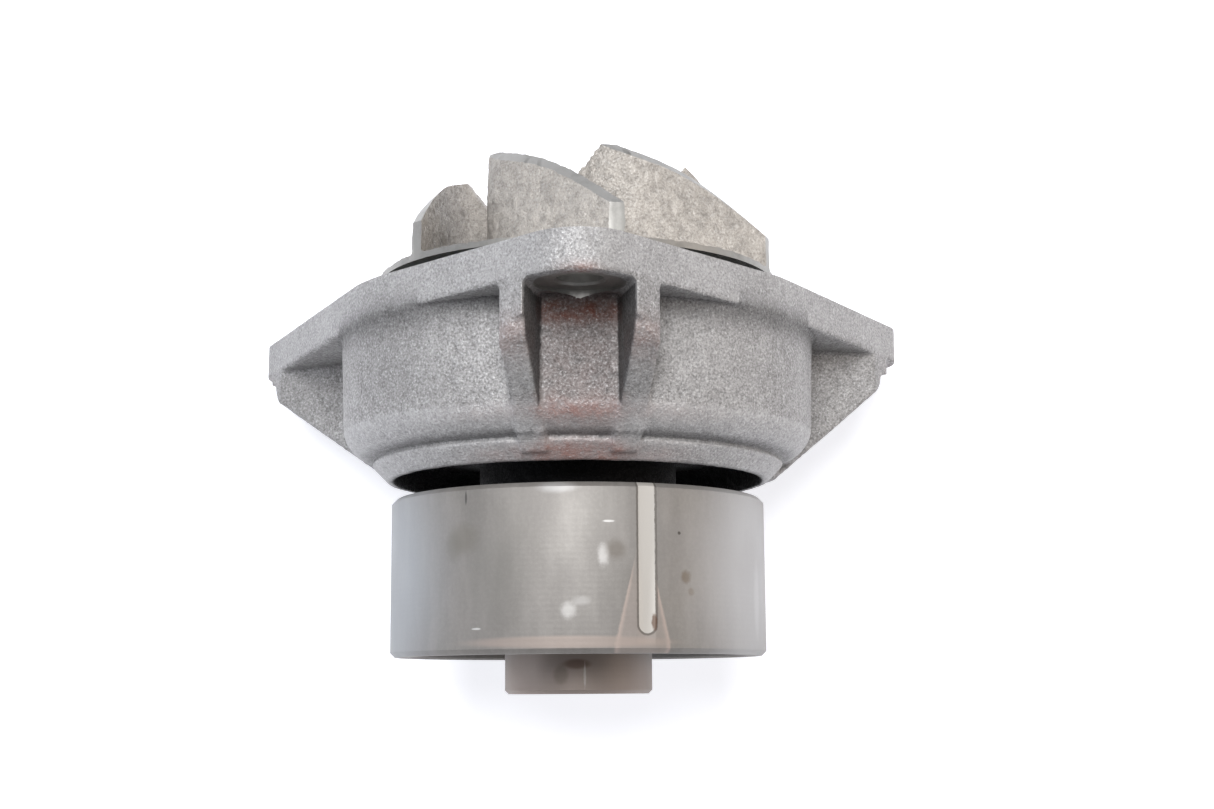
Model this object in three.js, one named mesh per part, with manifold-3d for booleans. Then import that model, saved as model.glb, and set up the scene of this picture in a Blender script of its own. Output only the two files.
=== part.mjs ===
// Engine coolant pump: a cast-iron housing with three bolting ears, an integral shaft bearing,
// a mechanical face seal, a six-vane impeller and a turned drive pulley.
//
// Frame, in millimetres: the shaft axis is Y. The origin is the centre of the shaft's pulley-side end,
// +Y points to the impeller, and +Z is up when the pump lies on the straight side of its left ear.
// Angles around the shaft start at +Z and grow towards +X.
import * as THREE from "three";
import { mergeVertices } from "three/addons/utils/BufferGeometryUtils.js";
import Module from "manifold-3d";

const wasm = await Module();
wasm.setup();

// ---------------------------------------------------------------- driving dimensions

const RUN_GAP = 0.3; // between a rolling element or a sliding face and what it runs against
const SEAT_GAP = 0.3; // between a pressed or seated piece and its seat

// Pulley
const RIM_R = 50;
const RIM_W = 41.4;
const RIM_WALL = 5.5;
const RIM_CHAMFER = 1.2;
const HUB_R = 19.6;
const HUB_NOSE = 9.7; // hub end to the front edge of the rim
const HUB_TAIL = 1.5; // hub beyond the inner face of the web
const HUB_CHAMFER = 1;
const HUB_FILLET = 3;
const WEB_RECESS = 4; // front edge of the rim to the web
const WEB_T = 7;

// Housing
const RIM_TO_HOUSING = 5.1;
const BODY_DEPTH = 38.3; // lip of the body to the underside of the flange
const FLANGE_T = 10;
const FLANGE_R = 64.3;
const BODY_R = 63.9;
const BODY_FOOT_R = 63.2;
const SHOULDER_R = 8.4;
const LIP_R = 55.6;
const LIP_CHAMFER = 4.5;
const LIP_STEP = 5.9;
const LIP_LAND = 1.8;
const FLOOR_T = 7;
const FLOOR_RECESS = 8;
const CHAMBER_WALL = 6.9;
const CHAMBER_WEB_T = 9;
const BOSS_WALL = 8.9; // around the seal bore
const BOSS_DROP = 2; // sealing face to the top of the boss
const SNOUT_WALL = 7.2; // around the bearing bore
const SNOUT_FILLET = 4;
const SNOUT_TO_WEB = 4.3;

const EAR_R = 13.5;
const EARS = [
  { angle: 3.8, pitch: 74.7, ribStraight: 10.5 },
  { angle: 115.2, pitch: 85.5, ribStraight: 6.5 },
  { angle: -121.2, pitch: 98, ribStraight: 4.5 },
];
const BOLT_R = 5.5;
const SPOT_R = 10.8;
const SPOT_DEPTH = 0.8;
const RIB_T = 6.8;
const RIB_OFFSET = 15.1; // from the bolt's axis, across the ear
const RIB_ROUND = 7;

// Bearing
const SHAFT_R = 9.5;
const RING_R = 19.05;
const RING_L = 56;
const RING_INSET = 1; // end of the snout to the ring
const BALL_R = 3.5;
const BALL_COUNT = 9;
const BALL_PLACE = 14; // pulley end of the ring to the balls
const ROLLER_R = 2.5;
const ROLLER_L = 10;
const ROLLER_COUNT = 10;
const ROLLER_PLACE = 40; // pulley end of the ring to the middle of the rollers
const CAGE_T = 2;
const CAGE_EDGE = 1.2; // cage material beside a pocket
const LIP_SEAL_T = 2;
const LIP_SEAL_INSET = 1.2;

// Face seal
const SPINDLE_R = 8; // shaft under the seal and the impeller
const CUP_R = 17.7;
const CUP_T = 0.8;
const CUP_L = 13.4;
const CUP_FLANGE_R = 21;
const FACE_R = 13;
const FACE_BORE_R = 9.3;
const FACE_T = 4.7;
const SEAT_R = 14.4;
const SEAT_T = 4.2;
const SEAT_RUBBER_T = 2;
const BELLOWS_T = 1.4;
const BELLOWS_FOLD = 1.6;
const SPRING_WIRE_R = 0.8;
const SPRING_TURNS = 3;
const WEEP_R = 2.5;

// Impeller
const DISC_R = 54;
const DISC_GAP = 5.5; // sealing face of the flange to the back of the disc
const DISC_RIM_T = 1.6;
const DISC_ROOT_T = 4.5;
const IMPELLER_HUB_R = 21;
const IMPELLER_NOSE_R = 13.5;
const IMPELLER_HUB_H = 17; // from the back of the disc
const VANE_COUNT = 6;
const VANE_TIP_T = 2.8;
const VANE_ROOT_T = 2.2;
const VANE_PHASE = 14.4; // angle of a vane where it meets the disc's edge
const VANE_TIP_H = 10.1; // vane above the back of the disc, at the disc's edge
const VANE_RISE = 0.97; // further height for each millimetre inwards, up to the peak
const VANE_FALL = 1.7; // loss of height for each millimetre from the peak to the root
// Middle line of a vane, from beyond the disc's edge inwards: radius, and degrees back from that edge.
const VANE_LINE = [
  { r: 57, back: -2 },
  { r: 43.1, back: 14.3 },
  { r: 32.5, back: 50.3 },
  { r: 22, back: 91 },
];
const VANE_PEAK_R = 32;

const LARGE = 48; // sides of a large turned face
const SMALL = 24; // sides of a small one
const DEG = Math.PI / 180;

// ---------------------------------------------------------------- places that follow

const rimFrontY = HUB_NOSE;
const rimBackY = rimFrontY + RIM_W;
const webFrontY = rimFrontY + WEB_RECESS;
const webBackY = webFrontY + WEB_T;
const lipY = rimBackY + RIM_TO_HOUSING;
const flangeY = lipY + BODY_DEPTH;
const sealY = flangeY + FLANGE_T;
const floorY = lipY + FLOOR_RECESS;
const chamberY = floorY + FLOOR_T;
const chamberR = BODY_FOOT_R - CHAMBER_WALL + SEAT_GAP;
const snoutY = webBackY + SNOUT_TO_WEB;
const ringY = snoutY + RING_INSET;
const ringEndY = ringY + RING_L;
const bearingBoreR = RING_R + SEAT_GAP;
const snoutR = bearingBoreR + SNOUT_WALL;
const sealBoreR = CUP_R + SEAT_GAP;
const bossR = sealBoreR + BOSS_WALL;
const bossY = sealY - BOSS_DROP;
const discY = sealY + DISC_GAP;
const trackPitchR = SHAFT_R + RUN_GAP + ROLLER_R;
const trackR = trackPitchR + ROLLER_R + RUN_GAP;
const ballY = ringY + BALL_PLACE;
const rollerY = ringY + ROLLER_PLACE;
const cupTopY = bossY + SEAT_GAP;
const cupFootY = cupTopY - CUP_L;
const seatBackY = discY + SEAT_T + SEAT_RUBBER_T;
const seatFrontY = seatBackY - SEAT_RUBBER_T - SEAT_GAP - SEAT_T;
const faceFrontY = seatFrontY - RUN_GAP;
const faceBackY = faceFrontY - FACE_T;
const seatPocketR = SEAT_R + SEAT_GAP + SEAT_RUBBER_T + SEAT_GAP;
const spindleY = ringEndY + RUN_GAP;
const spindleEndY = discY + IMPELLER_HUB_H - 1.5;
const weepY = (ringEndY + cupFootY) / 2;

// ---------------------------------------------------------------- helpers

const polar = (angle, r) => new THREE.Vector2(r * Math.sin(angle * DEG), r * Math.cos(angle * DEG));

// Points of an arc about (cx, cy), from one angle to another in degrees, 0 along x.
function arc(cx, cy, r, from, to, steps) {
  const points = [];
  for (let i = 0; i <= steps; i++) {
    const a = (from + ((to - from) * i) / steps) * DEG;
    points.push([cx + r * Math.cos(a), cy + r * Math.sin(a)]);
  }
  return points;
}

// A closed solid from a geometry, joined at its shared corners.
function solid(geometry) {
  const bare = geometry.clone();
  for (const name of Object.keys(bare.attributes)) {
    if (name !== "position") bare.deleteAttribute(name);
  }
  const merged = mergeVertices(bare, 1e-4);
  const made = new wasm.Manifold(
    new wasm.Mesh({
      numProp: 3,
      vertProperties: merged.attributes.position.array,
      triVerts: new Uint32Array(merged.index.array),
    }),
  );
  if (made.isEmpty()) throw new Error("a solid came out empty");
  return made;
}

// A turned solid about Y from a closed profile of [radius, y] points.
function turned(profile, sides = SMALL) {
  let area = 0;
  profile.forEach(([r, y], i) => {
    const [r2, y2] = profile[(i + 1) % profile.length];
    area += r * y2 - r2 * y;
  });
  const points = (area > 0 ? profile : [...profile].reverse()).map(([r, y]) => new THREE.Vector2(r, y));
  points.push(points[0].clone());
  return solid(new THREE.LatheGeometry(points, sides));
}

// A plain ring between two radii and two places along the shaft; an inner radius of 0 gives a disc.
function ring(inner, outer, y0, y1, sides = SMALL) {
  if (inner === 0) return solid(new THREE.CylinderGeometry(outer, outer, y1 - y0, sides).translate(0, (y0 + y1) / 2, 0));
  return turned([[inner, y0], [outer, y0], [outer, y1], [inner, y1]], sides);
}

// A flat outline of [x, z] points as a plate from y0 to y1.
function plate(points, y0, y1) {
  const shape = new THREE.Shape(points.map((p) => (p.isVector2 ? p : new THREE.Vector2(p[0], p[1]))));
  const geometry = new THREE.ExtrudeGeometry(shape, { depth: y1 - y0, bevelEnabled: false, curveSegments: 1 });
  return solid(geometry.rotateX(Math.PI / 2).translate(0, y1, 0));
}

// A plate that stands in the plane of the shaft at an angle, from a profile of [radius, y] points.
function radialPlate(profile, thickness, angle) {
  const shape = new THREE.Shape(profile.map(([r, y]) => new THREE.Vector2(r, y)));
  const geometry = new THREE.ExtrudeGeometry(shape, { depth: thickness, bevelEnabled: false });
  geometry.translate(0, 0, -thickness / 2).rotateY((angle - 90) * DEG);
  return solid(geometry);
}

function mesh(name, made, material) {
  const { vertProperties, triVerts } = made.getMesh();
  const geometry = new THREE.BufferGeometry();
  geometry.setAttribute("position", new THREE.BufferAttribute(new Float32Array(vertProperties), 3));
  geometry.setIndex(new THREE.BufferAttribute(new Uint32Array(triVerts), 1));
  geometry.computeVertexNormals();
  const piece = new THREE.Mesh(geometry, material.clone());
  piece.name = name;
  return piece;
}

const finish = (color, roughness, metalness) => new THREE.MeshStandardMaterial({ color, roughness, metalness });
const castIron = finish(0x9a9896, 0.75, 0.7);
const turnedSteel = finish(0xa09e9a, 0.45, 0.9);
const roughIron = finish(0xaaa49c, 0.8, 0.6);
const groundSteel = finish(0xc4c6c8, 0.25, 1);
const cageNylon = finish(0xd8cfae, 0.6, 0);
const blackRubber = finish(0x1d1d1f, 0.8, 0);
const brassSheet = finish(0xb99a54, 0.4, 0.9);
const springSteel = finish(0xb4b4b0, 0.35, 1);
const carbon = finish(0x2c2c2e, 0.5, 0.1);
const ceramic = finish(0xe8e4da, 0.35, 0);

// ---------------------------------------------------------------- housing

// How far round from an ear its straight side meets the flange's circle.
const earSpread = (ear) => Math.acos((FLANGE_R - EAR_R) / ear.pitch) / DEG;

// The flange's outline: a circle, with a round ear on straight tangent sides for each bolt.
function flangeOutline() {
  const order = [...EARS].sort((a, b) => a.angle - b.angle);
  const points = [];
  order.forEach((ear, i) => {
    const spread = earSpread(ear);
    const centre = polar(ear.angle, ear.pitch);
    const steps = 14;
    for (let k = 0; k <= steps; k++) {
      const a = ear.angle - spread + (2 * spread * k) / steps;
      points.push(polar(a, EAR_R).add(centre));
    }
    const next = order[(i + 1) % order.length];
    const from = ear.angle + spread;
    const to = next.angle - earSpread(next) + (i + 1 < order.length ? 0 : 360);
    const count = Math.max(2, Math.round((to - from) / 6));
    for (let k = 0; k <= count; k++) points.push(polar(from + ((to - from) * k) / count, FLANGE_R));
  });
  return points;
}

// The outside of the casting as one turned shape: body, lip, floor and bearing snout.
function bodyProfile() {
  const shoulderX = BODY_FOOT_R - SHOULDER_R;
  const shoulderY = lipY + LIP_STEP + SHOULDER_R;
  return [
    [0, snoutY],
    [snoutR - 1, snoutY],
    [snoutR, snoutY + 1],
    ...arc(snoutR + SNOUT_FILLET, floorY - SNOUT_FILLET, SNOUT_FILLET, 180, 90, 3),
    [LIP_R - LIP_CHAMFER - LIP_LAND, floorY],
    [LIP_R - LIP_CHAMFER - LIP_LAND, lipY],
    [LIP_R - LIP_CHAMFER, lipY],
    [LIP_R, lipY + LIP_CHAMFER],
    ...arc(shoulderX, shoulderY, SHOULDER_R, -85, 0, 5),
    [BODY_R, flangeY + 1],
    [0, flangeY + 1],
  ];
}

// The hollow behind the impeller, left by the wall, the floor and the seal boss.
function chamber() {
  return turned(
    [
      [bossR, chamberY],
      [chamberR, chamberY],
      [chamberR, sealY + 1],
      [0, sealY + 1],
      [0, bossY],
      [bossR, bossY],
    ],
    LARGE,
  );
}

// Three webs tie the seal boss to the wall; the lowest one carries the weep hole.
function chamberWebs() {
  const profile = [
    [bossR - 2, chamberY - 1],
    [chamberR + 2, chamberY - 1],
    [chamberR + 2, flangeY - 6],
    [bossR - 2, bossY - 4],
  ];
  return [180, 60, -60].map((angle) => radialPlate(profile, CHAMBER_WEB_T, angle));
}

// The stepped bore for the bearing and, above it, for the seal.
function housingBore() {
  return turned(
    [
      [0, snoutY - 1],
      [bearingBoreR, snoutY - 1],
      [bearingBoreR, ringEndY + SEAT_GAP],
      [sealBoreR, ringEndY + SEAT_GAP],
      [sealBoreR, bossY + 1],
      [0, bossY + 1],
    ],
    LARGE,
  );
}

// Two ribs under an ear, flush with the flange's edge, that slant down to the lip of the body.
function earRibs(ear, outlinePrism) {
  const swing = Math.asin(RIB_OFFSET / ear.pitch) / DEG;
  const reach = FLANGE_R / Math.cos((earSpread(ear) - swing) * DEG);
  const turnY = flangeY - ear.ribStraight;
  const footY = lipY + LIP_CHAMFER / 3;
  const footR = LIP_R - 1;
  const slope = Math.atan2(turnY - footY, reach - footR) / DEG;
  const cornerX = reach - RIB_ROUND;
  const cornerY = turnY + RIB_ROUND * (0.5 - 0.4 * Math.cos(slope * DEG));
  const profile = [
    [footR - 4, flangeY + 1],
    [reach + EAR_R, flangeY + 1],
    [reach + EAR_R, cornerY],
    ...arc(cornerX, cornerY, RIB_ROUND, 0, slope - 90, 3),
    [footR, footY],
    [footR - 4, footY],
  ];
  return [-swing, swing].map((off) => radialPlate(profile, RIB_T, ear.angle + off).intersect(outlinePrism));
}

function housing() {
  const outline = flangeOutline();
  let made = turned(bodyProfile(), LARGE).add(plate(outline, flangeY, sealY));
  const prism = plate(outline, lipY, sealY - 1);
  for (const ear of EARS) {
    for (const rib of earRibs(ear, prism)) made = made.add(rib);
  }
  made = made.subtract(chamber());
  for (const web of chamberWebs()) made = made.add(web);
  made = made.subtract(housingBore());
  for (const ear of EARS) {
    const at = polar(ear.angle, ear.pitch);
    const hole = new THREE.CylinderGeometry(BOLT_R, BOLT_R, FLANGE_T + 4, 24);
    made = made.subtract(solid(hole.translate(at.x, sealY - FLANGE_T / 2, at.y)));
    const spot = new THREE.CylinderGeometry(SPOT_R, SPOT_R, 2 * SPOT_DEPTH, 32);
    made = made.subtract(solid(spot.translate(at.x, flangeY, at.y)));
  }
  const weep = new THREE.CylinderGeometry(WEEP_R, WEEP_R, BODY_R, 12).rotateX(Math.PI / 2);
  return made.subtract(solid(weep.translate(0, weepY, -BODY_R / 2 - sealBoreR / 2)));
}

// ---------------------------------------------------------------- pulley

function pulley() {
  const boreR = SHAFT_R + SEAT_GAP;
  const innerR = RIM_R - RIM_WALL;
  return turned(
    [
      [boreR, 0],
      [HUB_R - HUB_CHAMFER, 0],
      [HUB_R, HUB_CHAMFER],
      ...arc(HUB_R + HUB_FILLET, webFrontY - HUB_FILLET, HUB_FILLET, 180, 90, 3),
      [innerR, webFrontY],
      [innerR, rimFrontY],
      [RIM_R - RIM_CHAMFER, rimFrontY],
      [RIM_R, rimFrontY + RIM_CHAMFER],
      [RIM_R, rimBackY - RIM_CHAMFER],
      [RIM_R - RIM_CHAMFER, rimBackY],
      [innerR, rimBackY],
      [innerR, webBackY],
      [HUB_R, webBackY],
      [HUB_R, webBackY + HUB_TAIL],
      [boreR, webBackY + HUB_TAIL],
    ],
    LARGE,
  );
}

// ---------------------------------------------------------------- impeller

// The outline of a vane in plan: its middle line, thickened to both sides.
function vaneOutline() {
  const curve = new THREE.SplineCurve(VANE_LINE.map(({ r, back }) => polar(VANE_PHASE - back, r)));
  const steps = 12;
  const sides = [[], []];
  for (let i = 0; i <= steps; i++) {
    const t = i / steps;
    const at = curve.getPoint(t);
    const along = curve.getTangent(t);
    const across = new THREE.Vector2(-along.y, along.x);
    const half = (VANE_TIP_T + (VANE_ROOT_T - VANE_TIP_T) * t) / 2;
    sides[0].push(at.clone().addScaledVector(across, half));
    sides[1].unshift(at.clone().addScaledVector(across, -half));
  }
  return sides.flat();
}

function impeller() {
  const topR = 4;
  const boreR = SPINDLE_R + SEAT_GAP;
  const disc = turned(
    [
      [boreR, seatBackY + SEAT_GAP],
      [seatPocketR, seatBackY + SEAT_GAP],
      [seatPocketR, discY],
      [DISC_R, discY],
      [DISC_R, discY + DISC_RIM_T],
      [IMPELLER_HUB_R + topR, discY + DISC_ROOT_T],
      ...arc(IMPELLER_HUB_R + topR, discY + DISC_ROOT_T + topR, topR, 270, 180, 2),
      [IMPELLER_HUB_R - 1, discY + DISC_ROOT_T + 2 * topR],
      [IMPELLER_NOSE_R, discY + IMPELLER_HUB_H - 1],
      [IMPELLER_NOSE_R - 1, discY + IMPELLER_HUB_H],
      [boreR, discY + IMPELLER_HUB_H],
    ],
    LARGE,
  );
  const peakH = VANE_TIP_H + VANE_RISE * (DISC_R - VANE_PEAK_R);
  const rootH = peakH - VANE_FALL * (VANE_PEAK_R - IMPELLER_HUB_R);
  const envelope = turned(
    [
      [DISC_R, discY + DISC_RIM_T / 2],
      [DISC_R, discY + VANE_TIP_H],
      [VANE_PEAK_R, discY + peakH],
      [IMPELLER_HUB_R, discY + rootH],
      [IMPELLER_HUB_R - 2, discY + rootH],
      [IMPELLER_HUB_R - 2, discY + DISC_RIM_T / 2],
    ],
    LARGE,
  );
  const outline = vaneOutline();
  let made = disc;
  for (let i = 0; i < VANE_COUNT; i++) {
    const turn = (i * 2 * Math.PI) / VANE_COUNT;
    const turnedOutline = outline.map((p) => p.clone().rotateAround(new THREE.Vector2(), turn));
    made = made.add(plate(turnedOutline, discY, discY + peakH + 1).intersect(envelope));
  }
  return made;
}

// ---------------------------------------------------------------- bearing

function shaft() {
  const grooveR = BALL_R + RUN_GAP;
  const half = Math.asin((trackPitchR - SHAFT_R) / grooveR) / DEG;
  return turned([
    [0, 0],
    [SHAFT_R - 0.8, 0],
    [SHAFT_R, 0.8],
    ...arc(trackPitchR, ballY, grooveR, 180 + 90 - half, 90 + half, 4),
    [SHAFT_R, spindleY],
    [SPINDLE_R, spindleY + 1],
    [SPINDLE_R, spindleEndY - 0.8],
    [SPINDLE_R - 0.8, spindleEndY],
    [0, spindleEndY],
  ]);
}

function bearingRing() {
  const grooveR = BALL_R + RUN_GAP;
  const half = Math.asin((trackR - trackPitchR) / grooveR) / DEG;
  return turned([
    [trackR, ringY],
    [RING_R - 0.6, ringY],
    [RING_R, ringY + 0.6],
    [RING_R, ringEndY - 0.6],
    [RING_R - 0.6, ringEndY],
    [trackR, ringEndY],
    ...arc(trackPitchR, ballY, grooveR, half, -half, 4),
  ]);
}

// A band between the shaft and the ring, with one open pocket for each rolling element.
function cage(y, halfLength, count, pocket) {
  const inner = trackPitchR - CAGE_T / 2;
  let made = ring(inner, inner + CAGE_T, y - halfLength - CAGE_EDGE, y + halfLength + CAGE_EDGE, SMALL);
  for (let i = 0; i < count; i++) {
    const angle = (i * 2 * Math.PI) / count;
    made = made.subtract(solid(pocket().translate(0, y, trackPitchR).rotateY(angle)));
  }
  return made;
}

function ballCage() {
  const pocketR = BALL_R + RUN_GAP;
  const pocket = () => new THREE.CylinderGeometry(pocketR, pocketR, 3 * CAGE_T, 8).rotateX(Math.PI / 2);
  return cage(ballY, pocketR, BALL_COUNT, pocket);
}

function rollerCage() {
  const width = 2 * (ROLLER_R + RUN_GAP);
  const length = ROLLER_L + 2 * RUN_GAP;
  return cage(rollerY, length / 2, ROLLER_COUNT, () => new THREE.BoxGeometry(width, length, 3 * CAGE_T));
}

function ball(i) {
  const at = polar((i * 360) / BALL_COUNT, trackPitchR);
  return solid(new THREE.SphereGeometry(BALL_R, 8, 6).translate(at.x, ballY, at.y));
}

function roller(i) {
  const at = polar((i * 360) / ROLLER_COUNT, trackPitchR);
  return solid(new THREE.CylinderGeometry(ROLLER_R, ROLLER_R, ROLLER_L, 10).translate(at.x, rollerY, at.y));
}

// A shield with a soft lip close to the shaft, at one end of the ring.
function lipSeal(y0) {
  const outer = trackR - SEAT_GAP;
  const inner = SHAFT_R + RUN_GAP;
  return turned([
    [inner, y0 + 0.5],
    [inner + 1.5, y0],
    [outer, y0],
    [outer, y0 + LIP_SEAL_T],
    [inner + 1.5, y0 + LIP_SEAL_T],
    [inner, y0 + LIP_SEAL_T - 0.5],
  ]);
}

// ---------------------------------------------------------------- face seal

function sealCup() {
  const innerR = CUP_R - CUP_T;
  const holeR = SPINDLE_R + 2;
  return turned([
    [holeR, cupFootY],
    [CUP_R, cupFootY],
    [CUP_R, cupTopY],
    [CUP_FLANGE_R, cupTopY],
    [CUP_FLANGE_R, cupTopY + CUP_T],
    [innerR, cupTopY + CUP_T],
    [innerR, cupFootY + CUP_T],
    [holeR, cupFootY + CUP_T],
  ]);
}

// A folded rubber sleeve that pushes the face ring forward and turns no water past it.
function sealBellows() {
  const y0 = cupFootY + CUP_T + SEAT_GAP;
  const y1 = faceBackY - SEAT_GAP;
  const innerR = FACE_BORE_R;
  const waist = [0, 1, 0, 1, 0];
  const step = (y1 - y0) / (waist.length - 1);
  const inside = waist.map((out, i) => [innerR + out * BELLOWS_FOLD, y0 + i * step]);
  const outside = waist.map((out, i) => [innerR + BELLOWS_T + out * BELLOWS_FOLD, y0 + i * step]).reverse();
  return turned([...inside, ...outside]);
}

class Helix extends THREE.Curve {
  constructor(radius, y0, y1, turns) {
    super();
    Object.assign(this, { radius, y0, y1, turns });
  }
  getPoint(t, target = new THREE.Vector3()) {
    const a = 2 * Math.PI * this.turns * t;
    const y = this.y0 + (this.y1 - this.y0) * t;
    return target.set(this.radius * Math.sin(a), y, this.radius * Math.cos(a));
  }
}

function sealSpring() {
  const clear = SPRING_WIRE_R + SEAT_GAP;
  const radius = (FACE_BORE_R + BELLOWS_T + BELLOWS_FOLD + CUP_R - CUP_T) / 2;
  const path = new Helix(radius, cupFootY + CUP_T + clear, cupTopY - clear, SPRING_TURNS);
  const section = new THREE.Shape().absarc(0, 0, SPRING_WIRE_R, 0, 2 * Math.PI);
  const options = { steps: SPRING_TURNS * 12, curveSegments: 3, bevelEnabled: false, extrudePath: path };
  return solid(new THREE.ExtrudeGeometry(section, options));
}

function seatRubber() {
  const outer = SEAT_R + SEAT_GAP + SEAT_RUBBER_T;
  const backY = seatBackY - SEAT_RUBBER_T;
  return turned([
    [FACE_BORE_R, seatBackY],
    [outer, seatBackY],
    [outer, seatFrontY + 0.6],
    [outer - SEAT_RUBBER_T, seatFrontY + 0.6],
    [outer - SEAT_RUBBER_T, backY],
    [FACE_BORE_R, backY],
  ]);
}

// ---------------------------------------------------------------- assembly

const pump = new THREE.Group();
pump.add(
  mesh("housing", housing(), castIron),
  mesh("drive_pulley", pulley(), turnedSteel),
  mesh("impeller", impeller(), roughIron),
  mesh("shaft", shaft(), groundSteel),
  mesh("bearing_outer_ring", bearingRing(), groundSteel),
  mesh("ball_cage", ballCage(), cageNylon),
  mesh("roller_cage", rollerCage(), cageNylon),
  mesh("pulley_side_lip_seal", lipSeal(ringY + LIP_SEAL_INSET), blackRubber),
  mesh("pump_side_lip_seal", lipSeal(ringEndY - LIP_SEAL_INSET - LIP_SEAL_T), blackRubber),
  mesh("seal_cup", sealCup(), brassSheet),
  mesh("seal_bellows", sealBellows(), blackRubber),
  mesh("seal_spring", sealSpring(), springSteel),
  mesh("seal_face_ring", ring(FACE_BORE_R, FACE_R, faceBackY, faceFrontY), carbon),
  mesh("seal_seat", ring(FACE_BORE_R, SEAT_R, seatFrontY, seatFrontY + SEAT_T), ceramic),
  mesh("seal_seat_rubber", seatRubber(), blackRubber),
);
for (let i = 0; i < BALL_COUNT; i++) pump.add(mesh(`ball_${i + 1}`, ball(i), groundSteel));
for (let i = 0; i < ROLLER_COUNT; i++) pump.add(mesh(`roller_${i + 1}`, roller(i), groundSteel));

export default pump;
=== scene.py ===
"""Engine coolant pump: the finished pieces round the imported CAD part, and a small studio for it.

The shaft is the Y axis. The origin is the middle of the pulley's hub end, +Y points to the impeller,
and +Z is up. Angles round the shaft start at +Z and grow towards +X. Everything is in metres.
"""

import math

import bpy
import numpy as np
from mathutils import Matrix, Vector


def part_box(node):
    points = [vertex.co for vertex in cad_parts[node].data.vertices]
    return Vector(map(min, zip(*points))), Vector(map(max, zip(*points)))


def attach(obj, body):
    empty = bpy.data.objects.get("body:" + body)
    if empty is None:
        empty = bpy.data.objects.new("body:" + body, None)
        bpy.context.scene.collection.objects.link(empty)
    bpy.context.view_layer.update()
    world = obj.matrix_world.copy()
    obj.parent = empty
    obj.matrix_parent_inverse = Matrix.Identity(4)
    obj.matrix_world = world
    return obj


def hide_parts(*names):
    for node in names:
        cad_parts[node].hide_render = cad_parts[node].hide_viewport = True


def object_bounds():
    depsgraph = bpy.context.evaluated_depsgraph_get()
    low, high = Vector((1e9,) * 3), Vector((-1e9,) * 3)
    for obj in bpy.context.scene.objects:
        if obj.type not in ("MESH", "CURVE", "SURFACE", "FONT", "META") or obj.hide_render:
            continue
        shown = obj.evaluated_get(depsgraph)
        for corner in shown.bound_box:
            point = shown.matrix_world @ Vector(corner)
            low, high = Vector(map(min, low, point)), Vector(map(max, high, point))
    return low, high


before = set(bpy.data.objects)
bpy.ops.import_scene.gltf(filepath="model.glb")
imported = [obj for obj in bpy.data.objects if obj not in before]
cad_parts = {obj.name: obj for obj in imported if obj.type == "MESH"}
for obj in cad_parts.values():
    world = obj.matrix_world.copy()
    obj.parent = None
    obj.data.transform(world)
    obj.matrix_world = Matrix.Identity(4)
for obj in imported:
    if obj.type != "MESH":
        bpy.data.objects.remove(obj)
CAD_BOX = [list(corner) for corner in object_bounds()]

bl_info = {
    "name": "Coolant Pump",
    "version": (1, 0, 0),
    "blender": (4, 5, 0),
    "location": "View3D > Sidebar > Pump",
    "description": "Builds a cast-iron coolant pump with its pulley, impeller, bearing and seals",
    "category": "Add Mesh",
}

MM = 0.001
HOUSING_TRIANGLES = 196000
IMPELLER_TRIANGLES = 180000
# Marks are given in the colours they show in full light; the metal itself is this much darker.
MARK_SHADE = 0.56
LOW = {name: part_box(name)[0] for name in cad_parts}
HIGH = {name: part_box(name)[1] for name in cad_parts}
SEAL_Y = HIGH["housing"].y
SNOUT_Y = LOW["housing"].y
RIM_R = HIGH["drive_pulley"].x
RIM_BACK_Y = HIGH["drive_pulley"].y
DISC_Y = LOW["impeller"].y
RING_R = HIGH["bearing_outer_ring"].x
RING_Y = LOW["bearing_outer_ring"].y
RING_END_Y = HIGH["bearing_outer_ring"].y
SHAFT_END_Y = HIGH["shaft"].y
BALL_COUNT = sum(name.startswith("ball_") and name != "ball_cage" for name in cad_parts)
ROLLER_COUNT = sum(name.startswith("roller_") and name != "roller_cage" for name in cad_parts)
BALL_Y = (LOW["ball_1"].y + HIGH["ball_1"].y) / 2
BALL_R = (HIGH["ball_1"].y - LOW["ball_1"].y) / 2
ROLLER_Y = (LOW["roller_1"].y + HIGH["roller_1"].y) / 2
ROLLER_L = HIGH["roller_1"].y - LOW["roller_1"].y
TRACK_R = (LOW["ball_1"].z + HIGH["ball_1"].z) / 2
ROLLER_R = (HIGH["roller_1"].z - LOW["roller_1"].z) / 2


def linear(code):
    """An sRGB hex colour as a linear RGBA tuple."""
    parts = [int(code[i : i + 2], 16) / 255 for i in (1, 3, 5)]
    return tuple(c / 12.92 if c <= 0.04045 else ((c + 0.055) / 1.055) ** 2.4 for c in parts) + (1.0,)


def length(name, description, mm):
    """A size in millimetres as a property in metres."""
    return bpy.props.FloatProperty(
        name=name, description=description, default=mm * MM, unit="LENGTH"
    )


def angle(name, description, degrees):
    """An angle in degrees as a property in radians."""
    return bpy.props.FloatProperty(
        name=name, description=description, default=math.radians(degrees), unit="ROTATION"
    )


def colour(name, description, code):
    """An sRGB hex colour as a linear colour property."""
    return bpy.props.FloatVectorProperty(
        name=name,
        description=description,
        default=linear(code),
        size=4,
        min=0,
        max=1,
        subtype="COLOR",
    )


# ------------------------------------------------------------------ settings


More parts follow.
